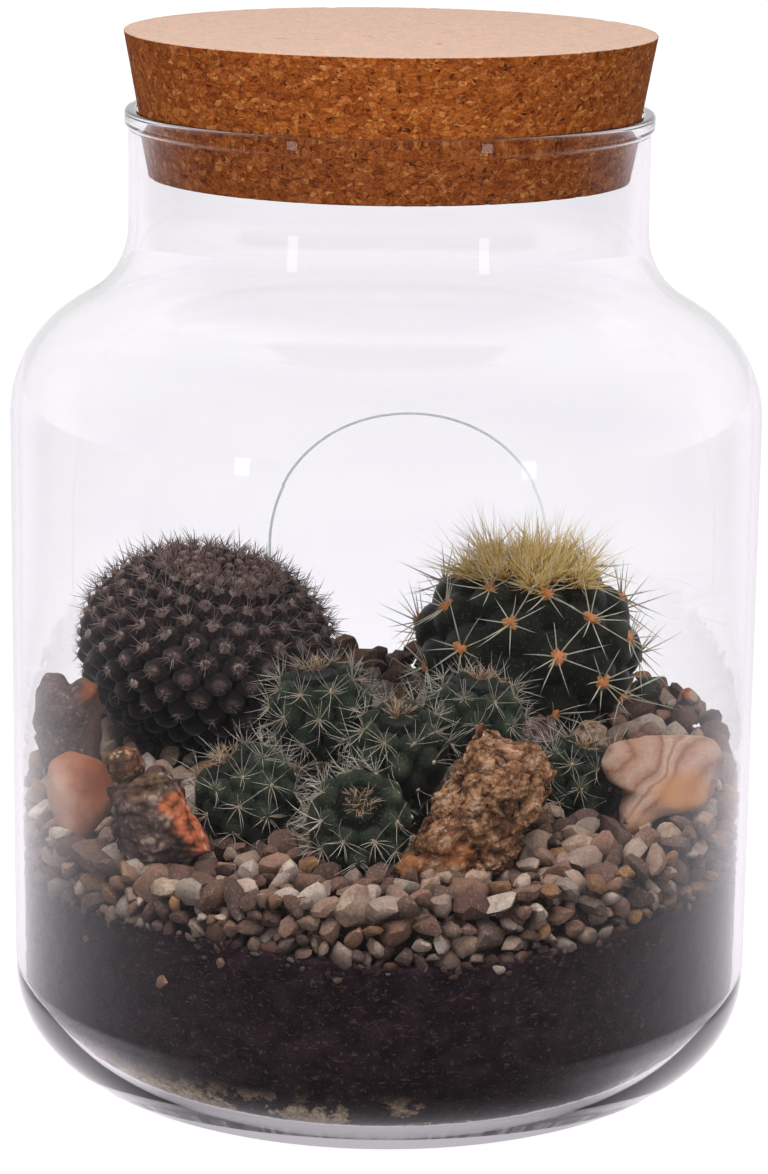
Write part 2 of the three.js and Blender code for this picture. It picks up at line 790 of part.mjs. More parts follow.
// Closes a surface into a solid: the same facets again at floor level, and a wall round the edge
function standingOnFloor(points, triangles) {
  const count = points.length;
  const edges = new Set(triangles.flatMap(([a, b, c]) => [`${a} ${b}`, `${b} ${c}`, `${c} ${a}`]));
  const below = points.map(([x, y]) => [x, y, 0]);
  const faces = [...triangles];
  for (const [a, b, c] of triangles) {
    faces.push([count + a, count + c, count + b]);
    for (const [from, to] of [[a, b], [b, c], [c, a]]) {
      if (edges.has(`${to} ${from}`)) continue;
      faces.push([from, count + from, to], [to, count + from, count + to]);
    }
  }
  return solid(geometryFrom([...points, ...below], faces));
}

// Hoop of fine clear filament behind the plants, its two feet in plain holes in the pebbles
const hoop = { x: 7, y: 78, centreHeight: 123.5, radius: 40.5, halfThickness: 0.45, footHeight: 76 };
const hoopSteps = 12;
const hoopSides = 6;

function filamentHoop(room) {
  const path = new THREE.CurvePath();
  const at = (dx, z) => new THREE.Vector3(hoop.x + dx, hoop.y, z);
  const points = [at(-hoop.radius, hoop.footHeight - room)];
  for (let i = 0; i <= hoopSteps; i += 1) {
    const angle = Math.PI * (1 - i / hoopSteps);
    points.push(at(hoop.radius * Math.cos(angle), hoop.centreHeight + hoop.radius * Math.sin(angle)));
  }
  points.push(at(hoop.radius, hoop.footHeight - room));
  for (let i = 1; i < points.length; i += 1) path.add(new THREE.LineCurve3(points[i - 1], points[i]));
  return path;
}

function hoopTube(room) {
  const section = new THREE.Shape();
  const r = hoop.halfThickness + room;
  for (let i = 0; i < hoopSides; i += 1) {
    const angle = (2 * Math.PI * i) / hoopSides;
    section[i ? 'lineTo' : 'moveTo'](r * Math.cos(angle), r * Math.sin(angle));
  }
  section.closePath();
  const extrudePath = filamentHoop(room);
  return new THREE.ExtrudeGeometry(section, { steps: 2 * hoopSteps, extrudePath, bevelEnabled: false });
}

function material(color, roughness, extra = {}) {
  return new THREE.MeshStandardMaterial({ color, roughness, metalness: 0, ...extra });
}

// A named piece from a geometry or a joined solid
function piece(name, shape, look) {
  let geometry = shape;
  if (!shape.isBufferGeometry) {
    const mesh = shape.getMesh();
    geometry = new THREE.BufferGeometry();
    geometry.setAttribute('position', new THREE.Float32BufferAttribute(mesh.vertProperties, 3));
    geometry.setIndex(Array.from(mesh.triVerts));
  }
  const mesh = new THREE.Mesh(geometry, look);
  mesh.name = name;
  return mesh;
}

const rockColors = {
  crag_rock: '#a5764f',
  banded_stone: '#d9a48c',
  salmon_stone: '#d68a62',
  tall_stone: '#7a6263',
  brown_slab: '#5e4138',
  ochre_stone: '#9a6a3c',
  mauve_rock: '#8d7674',
  beige_rock: '#b39b84',
  dark_pebble: '#4c5148',
  rust_tip_stone: '#8b7c74',
};

const room = filling();
const seats = plantSeats();
const { laid, taken } = laidRocks(seats);
const hoopHole = solid(hoopTube(gap));
const gravel = mainBody(cut(
  pebbleBed().intersect(room).subtract(layer(floorLevel, raised(soilTop, gap))),
  [...seats, ...taken, hoopHole],
));
const soil = mainBody(cut(room.intersect(layer(raised(drainageTop, gap), soilTop)), seats));
const drainage = mainBody(room.intersect(layer(floorLevel, drainageTop)));

const terrarium = new THREE.Group();
terrarium.add(
  piece('glass_jar', glassJar(), material('#f2f4f3', 0.03, { transparent: true, opacity: 0.25 })),
  piece('cork_stopper', corkStopper(), material('#b9793f', 0.85)),
  piece('drainage_layer', drainage, material('#b9a78c', 0.9)),
  piece('soil', soil, material('#3a2d2e', 0.95)),
  piece('gravel_bed', gravel, material('#a8947c', 0.8)),
  piece('golden_barrel_cactus', barrelCactus(), material('#33502f', 0.6)),
  piece('brown_globe_cactus', brownCactus(), material('#6b5a55', 0.85)),
  piece('cluster_cactus', clusterCactus(), material('#3f5f47', 0.65)),
  piece('filament_hoop', hoopTube(0), material('#c9d6d0', 0.2)),
);
for (const [name, shape] of Object.entries(laid)) {
  terrarium.add(piece(name, shape, material(rockColors[name], 0.85)));
}

export default terrarium;
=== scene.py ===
from math import acos, atan2, cos, hypot, pi, radians, sin

import bmesh
import bpy
import numpy as np
from mathutils import Matrix, Vector


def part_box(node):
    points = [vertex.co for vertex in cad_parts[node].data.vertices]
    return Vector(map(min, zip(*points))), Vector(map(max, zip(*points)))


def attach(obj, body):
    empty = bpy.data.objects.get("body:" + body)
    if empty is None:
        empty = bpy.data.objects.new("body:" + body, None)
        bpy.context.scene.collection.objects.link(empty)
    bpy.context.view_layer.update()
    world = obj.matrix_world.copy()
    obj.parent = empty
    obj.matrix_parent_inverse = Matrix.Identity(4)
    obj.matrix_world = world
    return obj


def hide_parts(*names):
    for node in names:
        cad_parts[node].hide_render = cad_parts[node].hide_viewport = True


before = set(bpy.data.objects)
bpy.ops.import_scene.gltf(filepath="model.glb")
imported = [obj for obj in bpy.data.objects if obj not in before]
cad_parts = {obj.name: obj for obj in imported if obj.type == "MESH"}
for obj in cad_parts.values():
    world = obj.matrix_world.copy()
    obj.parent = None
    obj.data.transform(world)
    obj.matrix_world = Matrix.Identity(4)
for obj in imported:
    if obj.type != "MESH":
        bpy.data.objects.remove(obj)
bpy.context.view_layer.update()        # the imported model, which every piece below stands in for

# Glass plant terrarium: a corked jar with fine gravel, peat and pebbles, three cacti and ten larger stones.
# Metres, +Z up, the front faces -Y. Every dictionary is in millimetres and degrees, colours are 0 to 255.
mm = 0.001


# Meshes

# Makes an object at the origin from points in millimetres and one array of faces for each face size
def makePiece(name, points, faceSets, look, values=None):
    loops = np.concatenate([faces.ravel() for faces in faceSets])
    sizes = np.concatenate([np.full(len(faces), faces.shape[1]) for faces in faceSets])
    mesh = bpy.data.meshes.new(name)
    mesh.vertices.add(len(points))
    mesh.vertices.foreach_set("co", (points * mm).ravel())
    mesh.loops.add(len(loops))
    mesh.loops.foreach_set("vertex_index", loops)
    mesh.polygons.add(len(sizes))
    mesh.polygons.foreach_set("loop_start", np.concatenate([[0], np.cumsum(sizes)[:-1]]))
    mesh.update(calc_edges=True)
    mesh.polygons.foreach_set("use_smooth", np.ones(len(sizes), bool))
    for key, data in (values or {}).items():
        mesh.attributes.new(key, "FLOAT", "POINT").data.foreach_set("value", np.ravel(data))
    mesh.materials.append(look)
    piece = bpy.data.objects.new(name, mesh)
    bpy.context.scene.collection.objects.link(piece)
    return piece


# Puts a piece on the jar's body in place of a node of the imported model
def settle(piece, slotName, node):
    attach(piece, "root")
    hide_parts(node)
    triangles = len(piece.data.loops) - 2 * len(piece.data.polygons)
    print("made", piece.name, "with", triangles, "triangles")


# Faces of a grid of rows that each close round, with one point more at each end: quads, then two fans
def closedFaces(rows, turns):
    here = np.arange(turns)
    after = (here + 1) % turns
    start = np.arange(rows - 1)[:, None] * turns
    quads = np.stack([start + here, start + after, start + turns + after, start + turns + here], -1)
    first, last = rows * turns, rows * turns + 1
    top = (rows - 1) * turns
    fans = [np.stack([np.full(turns, first), after, here], -1),
            np.stack([np.full(turns, last), top + here, top + after], -1)]
    return [quads.reshape(-1, 4), np.concatenate(fans)]


# The points of such a grid, with the middle of its first and last rows' ends given
def closedPoints(grid, first, last):
    return np.concatenate([grid.reshape(-1, 3), [first], [last]])


# Turned shape: point (r, z) of the profile goes to (r cos a, r sin a, z), and its ends lie on the axis
def turned(profile, turns):
    profile = np.array(profile, float)
    angle = np.arange(turns) * 2 * pi / turns
    r, z = profile[1:-1, 0, None], profile[1:-1, 1, None]
    grid = np.stack([r * np.cos(angle), r * np.sin(angle), z + 0 * angle], -1)
    ends = [(0, 0, profile[0, 1]), (0, 0, profile[-1, 1])]
    return closedPoints(grid, *ends), closedFaces(len(profile) - 2, turns)


# Points of an arc in the profile's plane
def arc(middleR, middleZ, radius, start, end, steps):
    angle = np.radians(np.linspace(start, end, steps + 1))
    return np.stack([middleR + radius * np.cos(angle), middleZ + radius * np.sin(angle)], -1).tolist()


# A ball of near-even triangles, as unit points and faces
def ballMesh(subdivisions):
    ball = bmesh.new()
    bmesh.ops.create_icosphere(ball, subdivisions=subdivisions, radius=1)
    points = np.array([v.co for v in ball.verts])
    faces = np.array([[v.index for v in f.verts] for f in ball.faces])
    ball.free()
    return points / np.linalg.norm(points, axis=1, keepdims=True), faces


# Random value of each whole-numbered cell, from 0 to 1
def cellValue(cells, seed):
    n = (cells[..., 0] * 73856093) ^ (cells[..., 1] * 19349663) ^ (cells[..., 2] * 83492791) ^ (seed * 2654435)
    n = ((n ^ (n >> 13)) * 1274126177) & 0xFFFFFFFF
    return ((n ^ (n >> 16)) & 0xFFFF) / 65535


# Smooth noise from -1 to 1: the values of the eight corners round a point, blended by 3t^2 - 2t^3
def noise(points, seed):
    low = np.floor(points).astype(np.int64)
    t = points - low
    t = t * t * (3 - 2 * t)
    total = 0
    for corner in np.ndindex(2, 2, 2):
        weight = np.prod(np.where(np.array(corner) == 1, t, 1 - t), axis=-1)
        total = total + weight * cellValue(low + np.array(corner), seed)
    return 2 * total - 1


# Rough noise: octaves of smooth noise, each half as large and half as strong as the one before
def roughNoise(points, size, octaves, seed):
    return sum(noise(points / (size / 2 ** k) + 31.7 * k, seed + k) / 2 ** k for k in range(octaves))


# Distance from each point to the nearest of the points strewn one to a cell of that size, over the size,
# and that point's random value from 0 to 1
def lumps(points, size, seed):
    place = points / size
    low = np.floor(place).astype(np.int64)
    nearest, value = np.full(points.shape[:-1], 9.0), np.zeros(points.shape[:-1])
    for offset in np.ndindex(3, 3, 3):
        cell = low + np.array(offset) - 1
        strewn = cell + np.stack([cellValue(cell, seed + k) for k in range(3)], -1)
        away = ((place - strewn) ** 2).sum(-1)
        value = np.where(away < nearest, cellValue(cell, seed + 7), value)
        nearest = np.minimum(nearest, away)
    return np.sqrt(nearest), value


def unit(vectors):
    return vectors / np.maximum(np.linalg.norm(vectors, axis=-1, keepdims=True), 1e-9)


# Two directions square to each given one
def acrossOf(directions):
    helper = np.where(np.abs(directions[..., 2:3]) < 0.9, [0, 0, 1.0], [1.0, 0, 0])
    side = unit(np.cross(helper, directions))
    return side, np.cross(directions, side)


# Direction at an angle from one towards another that is square to it
def turnedWay(first, second, angle):
    return first * np.cos(angle)[..., None] + second * np.sin(angle)[..., None]


# Points of many bodies, from their places along three directions about each body's middle
def placed(local, middle, *ways):
    points = middle[:, None]
    for axis, way in enumerate(ways):
        points = points + local[..., axis:axis + 1] * way[:, None]
    return points


# Faces of every copy of a mesh that has so many points
def copyFaces(faces, copies, each):
    return (faces + np.arange(copies)[:, None, None] * each).reshape(-1, faces.shape[1])


# Materials

# Colour as seen on a screen, turned into Blender's linear one
def tint(color):
    share = np.array(color) / 255
    linear = np.where(share < 0.04045, share / 12.92, ((share + 0.055) / 1.055) ** 2.4)
    return (*linear.tolist(), 1.0)


# Adds a node. Values are sockets to link or plain numbers, settings are the node's own properties.
def addNode(tree, kind, values=None, **settings):
    made = tree.nodes.new("ShaderNode" + kind)
    for key, value in settings.items():
        setattr(made, key, value)
    for key, value in (values or {}).items():
        if isinstance(value, bpy.types.NodeSocket):
            tree.links.new(value, made.inputs[key])
        else:
            made.inputs[key].default_value = value
    return made


def mixColor(tree, factor, first, second, blend="MIX"):
    return addNode(tree, "Mix", {0: factor, 6: first, 7: second}, data_type="RGBA", blend_type=blend).outputs[2]


def spread(tree, value, low, high, toLow=0.0, toHigh=1.0):
    values = {0: value, 1: low, 2: high, 3: toLow, 4: toHigh}
    return addNode(tree, "MapRange", values, interpolation_type="SMOOTHSTEP").outputs[0]


def mixValue(tree, factor, first, second):
    return addNode(tree, "Mix", {0: factor, 2: first, 3: second}).outputs[0]


def calculate(tree, operation, first, second):
    return addNode(tree, "Math", {0: first, 1: second}, operation=operation).outputs[0]


def times(tree, first, second):
    return calculate(tree, "MULTIPLY", first, second)


def vectorMath(tree, operation, first, second=(0, 0, 0)):
    output = "Value" if operation in ("LENGTH", "DOT_PRODUCT") else "Vector"
    return addNode(tree, "VectorMath", {0: first, 1: second}, operation=operation).outputs[output]


def objectPlace(tree):
    return addNode(tree, "TexCoord").outputs["Object"]


def axisOf(tree, vector, axis):
    return addNode(tree, "SeparateXYZ", {0: vector}).outputs["XYZ".index(axis)]


def attribute(tree, name):
    return addNode(tree, "Attribute", attribute_name=name).outputs["Fac"]


def ramp(tree, value, stops):
    made = addNode(tree, "ValToRGB", {0: value})
    elements = made.color_ramp.elements
    while len(elements) < len(stops):
        elements.new(0.5)
    for element, (place, color) in zip(elements, stops):
        element.position = place
        element.color = tint(color)
    return made.outputs[0]


def noiseNode(tree, place, scale, detail=3.0, roughness=0.6, output=0):
    values = {"Vector": place, "Scale": scale, "Detail": detail, "Roughness": roughness}
    return addNode(tree, "TexNoise", values).outputs[output]


def newGroup(name, inputs, outputs):
    group = bpy.data.node_groups.new(name, "ShaderNodeTree")
    for label, kind, start in inputs:
        group.interface.new_socket(label, in_out="INPUT", socket_type=kind).default_value = start
    for label, kind in outputs:
        group.interface.new_socket(label, in_out="OUTPUT", socket_type=kind)
    return group, group.nodes.new("NodeGroupInput").outputs, group.nodes.new("NodeGroupOutput").inputs


floatKind, colorKind, vectorKind = "NodeSocketFloat", "NodeSocketColor", "NodeSocketVector"


# Mottling of stone, soil and skin: two colours in patches, with fine light and dark specks.
# Height is the patches and specks together, for a bump.
def buildMottle():
    group, given, out = newGroup("mottle", [
        ("First", colorKind, (0.5, 0.5, 0.5, 1)), ("Second", colorKind, (0.3, 0.3, 0.3, 1)),
        ("Patch Scale", floatKind, 100.0), ("Speck Scale", floatKind, 900.0), ("Specks", floatKind, 0.3),
    ], [("Color", colorKind), ("Height", floatKind), ("Roughness", floatKind)])
    place = objectPlace(group)
    patch = noiseNode(group, place, given["Patch Scale"], 4.0, 0.65)
    speck = noiseNode(group, place, given["Speck Scale"], 2.0, 0.7)
    color = mixColor(group, spread(group, patch, 0.36, 0.64), given["First"], given["Second"])
    dark = times(group, spread(group, speck, 0.5, 0.32), given["Specks"])
    light = times(group, spread(group, speck, 0.55, 0.75), given["Specks"])
    color = mixColor(group, dark, color, tint((22, 16, 16)))
    color = mixColor(group, times(group, light, 0.55), color, tint((235, 225, 210)))
    height = calculate(group, "ADD", patch, times(group, speck, 0.4))
    group.links.new(color, out["Color"])
    group.links.new(height, out["Height"])
    group.links.new(spread(group, speck, 0.3, 0.7, 0.62, 0.92), out["Roughness"])
    return group


# Ragged spot: 1 within an ellipsoid about Centre (metres), fading out over its edge, broken by noise
def buildSpot():
    group, given, out = newGroup("spot", [
        ("Centre", vectorKind, (0, 0, 0)), ("Size", vectorKind, (0.01, 0.01, 0.01)),
    ], [("Mask", floatKind)])
    place = objectPlace(group)
    away = vectorMath(group, "DIVIDE", vectorMath(group, "SUBTRACT", place, given["Centre"]), given["Size"])
    far = vectorMath(group, "LENGTH", away)
    ragged = times(group, noiseNode(group, place, 190.0, 4.0), 0.8)
    group.links.new(spread(group, calculate(group, "ADD", far, ragged), 1.55, 0.95), out["Mask"])
    return group


mottle = buildMottle()
spot = buildSpot()


# A material with a Principled shader of plain values, whose tree the caller fills
def newLook(name, roughness=0.8, **plain):
    look = bpy.data.materials.new(name)
    look.use_nodes = True
    tree = look.node_tree
    shader = tree.nodes["Principled BSDF"]
    shader.inputs["Roughness"].default_value = roughness
    shader.inputs["Specular IOR Level"].default_value = 0.2
    for key, value in plain.items():
        shader.inputs[key].default_value = value
    return look, tree, shader


def addMottle(tree, first, second, patchScale, speckScale, specks):
    made = addNode(tree, "Group", node_tree=mottle)
    for key, value in zip(("First", "Second"), (first, second)):
        if isinstance(value, bpy.types.NodeSocket):
            tree.links.new(value, made.inputs[key])
        else:
            made.inputs[key].default_value = tint(value)
    for key, value in (("Patch Scale", patchScale), ("Speck Scale", speckScale), ("Specks", specks)):
        made.inputs[key].default_value = value
    return made.outputs


# Lays spots over a colour, each as (centre, size, colour, strength)
def addSpots(tree, color, spots):
    for centre, size, paint, strength in spots:
        made = addNode(tree, "Group", node_tree=spot)
        made.inputs["Centre"].default_value = [c * mm for c in centre]
        made.inputs["Size"].default_value = [s * mm for s in size]
        color = mixColor(tree, times(tree, made.outputs["Mask"], strength), color, tint(paint))
    return color


# Gives a shader its colour and a bump from a height, with the bump's strength and depth in mm
def finishLook(tree, shader, color, height, strength, depth):
    tree.links.new(color, shader.inputs["Base Color"])
    values = {"Height": height, "Strength": strength, "Distance": depth * mm}
    tree.links.new(addNode(tree, "Bump", values).outputs[0], shader.inputs["Normal"])


# Camera, lights and floor

camera = dict(place=(0, -1002, 372.3), pitch=13.6, roll=0.74, lens=117.1)
strips = dict(turn=40, distance=800, height=195, width=62, length=180, power=0.101)
fills = dict(turn=41, distance=1500, height=420, width=260, length=1300, power=9.5)
topLight = dict(place=(-40, -380, 1300), size=900, power=27.6)
sky = dict(seen=1.0, cast=0.3, mirrored=0.05, side=0.9)
floorForm = dict(
    size=9000, color=(246, 246, 247), second=(242, 242, 244), seen=(110, 110, 112), shaded=(52, 52, 54), glow=1.07,
)
# Brightness of the floor as the glass mirrors it. Ways run from -1 in front of the jar to 1 behind it, and the
# other ranges are distances from its middle in mm.
mirrorForm = dict(
    color=(242, 237, 243), way=(-1.1, 0.6), share=1.15, turning=(50, 800), turn=0.9,
    edgeWay=(0.3, 0.8), edgeShare=1.1,
    ringWay=(-0.95, -0.45), ring=(150, 125), ringShare=1.7,
    foot=(112, 88), footShare=0.55,
)


def addCamera():
    data = bpy.data.cameras.new("camera")
    data.lens, data.sensor_fit, data.sensor_height, data.sensor_width = camera["lens"], "VERTICAL", 36, 36
    made = bpy.data.objects.new("camera", data)
    made.location = Vector(camera["place"]) * mm
    pitch = Matrix.Rotation(radians(90 - camera["pitch"]), 3, "X")
    made.rotation_euler = (pitch @ Matrix.Rotation(radians(camera["roll"]), 3, "Z")).to_euler()
    bpy.context.scene.collection.objects.link(made)
    bpy.context.scene.camera = made


# Lamps stay out of light that has passed through the glass, and only the strips show in what it mirrors
def addLamp(name, place, target, width, length, power, mirrored):
    data = bpy.data.lights.new(name, "AREA")
    data.shape, data.size, data.size_y, data.energy = "RECTANGLE", width * mm, length * mm, power
    made = bpy.data.objects.new(name, data)
    made.location = Vector(place) * mm
    made.rotation_euler = (Vector(target) * mm - made.location).to_track_quat("-Z", "Y").to_euler()
    made.visible_glossy, made.visible_transmission = mirrored, False
    bpy.context.scene.collection.objects.link(made)


# 1 where light has been scattered or mirrored on its way to the camera, and 0 where it only passed through
def isIndirect(tree):
    path = addNode(tree, "LightPath").outputs
    return calculate(tree, "MINIMUM", calculate(tree, "ADD", path["Diffuse Depth"], path["Glossy Depth"]), 1.0)


# White all round as it is seen, but dimmer as a light, so that shade stays deep. What the glass mirrors is
# white at the sides and behind, and dim in front, so that it stays clear.
def addSky():
    world = bpy.data.worlds.new("studio")
    world.use_nodes = True
    tree = world.node_tree
    way = axisOf(tree, addNode(tree, "TexCoord").outputs["Generated"], "Y")
    mirrored = spread(tree, way, -0.4, 0.5, sky["mirrored"], sky["side"])
    casting = addNode(tree, "LightPath").outputs["Is Diffuse Ray"]
    dim = mixValue(tree, casting, mirrored, sky["cast"])
    strength = mixValue(tree, isIndirect(tree), sky["seen"], dim)
    tree.links.new(strength, tree.nodes["Background"].inputs["Strength"])
    tree.nodes["Background"].inputs["Color"].default_value = (1, 1, 1, 1)
    bpy.context.scene.world = world


# How bright the floor is in what the glass mirrors: white behind the jar and beside it, dark in front, and
# half white under its foot
def mirroredFloor(tree, place):
    reach = vectorMath(tree, "LENGTH", place)
    way = calculate(tree, "DIVIDE", axisOf(tree, place, "Y"), reach)

    # By distance: from 0 to a share over the range of that name
    def byReach(name, share):
        low, high = mirrorForm[name]
        return spread(tree, reach, low * mm, high * mm, 0, mirrorForm[share])

    turn = byReach("turning", "turn")
    white = spread(tree, calculate(tree, "SUBTRACT", way, turn), *mirrorForm["way"], 0, mirrorForm["share"])
    edges = spread(tree, way, *mirrorForm["edgeWay"], 0, mirrorForm["edgeShare"])
    white = calculate(tree, "MAXIMUM", white, edges)
    ring = times(tree, byReach("ring", "ringShare"), spread(tree, way, *mirrorForm["ringWay"]))
    under = byReach("foot", "footShare")
    return calculate(tree, "MAXIMUM", white, calculate(tree, "MAXIMUM", ring, under))


# Pale floor that glows, so that it fades into the sky behind, and has only a faint shade. It lights the jar
# little, so that shade stays deep.
def addFloor():
    look, tree, shader = newLook("paleFloor", 0.9)
    ground = addMottle(tree, floorForm["color"], floorForm["second"], 3.0, 40.0, 0.0)
    scattered = addNode(tree, "LightPath").outputs["Is Diffuse Ray"]
    white = mixValue(tree, scattered, mirroredFloor(tree, objectPlace(tree)), 0.0)
    indirect = isIndirect(tree)
    color = mixColor(tree, indirect, tint(floorForm["seen"]), tint(floorForm["shaded"]))
    tree.links.new(color, shader.inputs["Base Color"])
    shown = mixColor(tree, indirect, ground["Color"], tint(mirrorForm["color"]))
    tree.links.new(shown, shader.inputs["Emission Color"])
    strength = mixValue(tree, indirect, floorForm["glow"], white)
    tree.links.new(strength, shader.inputs["Emission Strength"])
    half = floorForm["size"] / 2
    points = np.array([[-half, -half, 0], [half, -half, 0], [half, half, 0], [-half, half, 0]], float)
    makePiece("floor", points, [np.array([[0, 1, 2, 3]])], look)


addCamera()
addSky()
addFloor()
# The narrow strips are there for what the glass mirrors, the fills and the top light for the rest
for name, form, mirrored in (("strip", strips, True), ("fill", fills, False)):
    for side in (-1, 1):
        turn = radians(form["turn"]) * side
        place = (form["distance"] * sin(turn), -form["distance"] * cos(turn), form["height"])
        target = (0, 0, form["height"] if mirrored else 150)
        addLamp(name, place, target, form["width"], form["length"], form["power"], mirrored)
addLamp("top", topLight["place"], (0, 0, 100), topLight["size"], topLight["size"], topLight["power"], False)
bpy.context.scene.view_settings.view_transform = "Standard"
print("camera, lights and floor are set")


# Jar

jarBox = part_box("glass_jar")
jar = dict(
    radius=jarBox[1].x / mm, rim=jarBox[1].z / mm, wall=2.2, floor=4.5, corner=25.5,
    shoulderHeight=178.2, shoulder=32.8, neck=68.6, fillet=22.3, filletHeight=228.3,
    lip=4.6, flare=0.9, rounding=1.1, bevel=0.6, pushUp=0.9, pushUpRadius=62, turns=240,
    color=(0.956, 0.946, 0.962, 1), ior=1.47,
)
innerRadius = jar["radius"] - jar["wall"]
bendMiddle = jar["radius"] - jar["corner"]
bendRadius = jar["corner"] - jar["wall"]
bendHeight = jar["floor"] + bendRadius


# Body, shoulder and neck at an inset from the glass's outside. The shoulder's bend passes into the
# neck's hollow one along the line that touches both circles.
def jarSide(inset):
    middle = jar["radius"] - jar["shoulder"]
    hollow = jar["neck"] + jar["fillet"]
    across, up = hollow - middle, jar["filletHeight"] - jar["shoulderHeight"]
    lean = acos((jar["shoulder"] + jar["fillet"]) / hypot(across, up))
    turn = np.degrees(atan2(up, across) - lean)
    return [*arc(middle, jar["shoulderHeight"], jar["shoulder"] - inset, 0, turn, 16),
            *arc(hollow, jar["filletHeight"], jar["fillet"] + inset, 180 + turn, 180, 12)]


def makeGlass():
    outer, inner = jar["neck"] + jar["flare"], jar["neck"] - jar["wall"]
    bead, bevel, rim = jar["rounding"], jar["bevel"], jar["rim"]
    share = np.linspace(0, 1, 9)[1:]
    pushed = np.stack([jar["pushUpRadius"] * share, jar["pushUp"] * (1 - share ** 2) ** 2], -1).tolist()
    profile = [
        [0, jar["pushUp"]], *pushed,
        *arc(bendMiddle, jar["corner"], jar["corner"], -90, 0, 20),
        *jarSide(0),
        [jar["neck"], rim - jar["lip"] - bevel],
        *arc(outer - bead, rim - jar["lip"] + bead, bead, -70, 0, 5),
        *arc(outer - bead, rim - bead, bead, 0, 90, 5),
        *arc(inner + bevel, rim - bevel, bevel, 90, 180, 4),
        *jarSide(jar["wall"])[::-1],
        *arc(bendMiddle, bendHeight, bendRadius, 0, -90, 20),
        [0, jar["floor"]],
    ]
    points, faces = turned(profile, jar["turns"])
    look, tree, shader = newLook("clearGlass", 0.0, **{"Transmission Weight": 1.0, "IOR": jar["ior"]})
    shader.inputs["Base Color"].default_value = jar["color"]
    lets = addNode(tree, "BsdfTransparent", {"Color": (1, 1, 1, 1)})
    blend = addNode(tree, "MixShader", {0: addNode(tree, "LightPath").outputs["Is Shadow Ray"],
                                        1: shader.outputs[0], 2: lets.outputs[0]})
    tree.links.new(blend.outputs[0], tree.nodes["Material Output"].inputs["Surface"])
    settle(makePiece("glassJar", points, faces, look), "jar_glass", "glass_jar")


makeGlass()


# Cork

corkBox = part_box("cork_stopper")
cork = dict(
    top=corkBox[1].z / mm, foot=corkBox[0].z / mm, topRadius=corkBox[1].x / mm, gap=0.3, edge=0.4,
    turns=380, pitSize=2.4, pitDepth=0.5, grainSize=1.1, grainDepth=0.07, granuleScale=520.0, smallScale=1150.0,
    granules=[(0.0, (104, 45, 13)), (0.3, (142, 70, 25)), (0.55, (162, 85, 33)), (0.8, (180, 105, 48)),
              (1.0, (206, 144, 85))],
    speck=(41, 19, 9), litCutTop=(160, 147, 136),
)


def corkLook():
    look, tree, shader = newLook("pressedCork", 0.85)
    place = objectPlace(tree)
    height = axisOf(tree, place, "Z")
    warp = vectorMath(tree, "MULTIPLY", noiseNode(tree, place, 260.0, 2.0, 0.5, 1), (0.0028, 0.0028, 0.0028))
    place = vectorMath(tree, "ADD", place, warp)
    flat = vectorMath(tree, "MULTIPLY", place, (1, 1, 1.45))
    granules = {"Vector": flat, "Scale": cork["granuleScale"]}
    cells = addNode(tree, "TexVoronoi", granules)
    small = addNode(tree, "TexVoronoi", {"Vector": flat, "Scale": cork["smallScale"]})
    edges = addNode(tree, "TexVoronoi", granules, feature="DISTANCE_TO_EDGE")
    big = addNode(tree, "SeparateColor", {0: cells.outputs["Color"]}).outputs[0]
    fine = addNode(tree, "SeparateColor", {0: small.outputs["Color"]}).outputs[1]
    tone = mixValue(tree, 0.45, big, fine)
    color = ramp(tree, tone, cork["granules"])
    # Paler top face: the cut face's own paler colour, with a painted highlight from the light above
    onTop = spread(tree, height, (cork["top"] - 0.3) * mm, (cork["top"] - 0.1) * mm)
    color = mixColor(tree, times(tree, onTop, 0.74), color, tint(cork["litCutTop"]))
    hidden = calculate(tree, "SUBTRACT", 1.0, times(tree, onTop, 0.7))
    seam = times(tree, spread(tree, edges.outputs["Distance"], 0.06, 0.0), hidden)
    color = mixColor(tree, times(tree, seam, 0.4), color, tint(cork["speck"]))
    specks = times(tree, spread(tree, noiseNode(tree, place, 560.0, 3.0, 0.75), 0.6, 0.67), hidden)
    color = mixColor(tree, times(tree, specks, 0.9), color, tint(cork["speck"]))
    grain = addMottle(tree, color, color, 300.0, 1500.0, 0.12)
    relief = calculate(tree, "SUBTRACT", tone, calculate(tree, "ADD", specks, seam))
    finishLook(tree, shader, grain["Color"], relief, 0.55, 0.3)
    return look


# Tapered stopper. Its skin sinks by pitDepth max(-rough noise - 0.42, 0), and by up to grainDepth of fine noise.
def makeCork():
    rimRadius = jar["neck"] - jar["wall"] - cork["gap"]
    taper = (cork["topRadius"] - rimRadius) / (cork["top"] - jar["rim"])
    footRadius = rimRadius - taper * (jar["rim"] - cork["foot"])
    edge = cork["edge"]
    top = [[r, cork["top"]] for r in np.linspace(cork["topRadius"] - edge, 0, 36)]
    foot = [[r, cork["foot"]] for r in np.linspace(0, footRadius - edge, 12)]
    start = [footRadius, cork["foot"] + edge]
    end = [cork["topRadius"] - taper * edge, cork["top"] - edge]
    side = np.linspace(start, end, 40).tolist()
    profile = [*foot, *arc(footRadius - edge, cork["foot"] + edge, edge, -60, -20, 2), *side,
               *arc(cork["topRadius"] - edge, cork["top"] - edge, edge, 25, 65, 2), *top]
    points, faces = turned(profile, cork["turns"])
    middle = np.array([0, 0, (cork["top"] + cork["foot"]) / 2])
    pits = np.maximum(-roughNoise(points, cork["pitSize"], 3, 51) - 0.42, 0)
    grain = 0.5 + 0.5 * noise(points / cork["grainSize"], 55)
    inward = unit(middle - points * [0.5, 0.5, 1])
    points = points + inward * (cork["pitDepth"] * pits + cork["grainDepth"] * grain)[:, None]
    settle(makePiece("corkStopper", points, faces, corkLook()), "cork", "cork_stopper")


makeCork()


# Layers

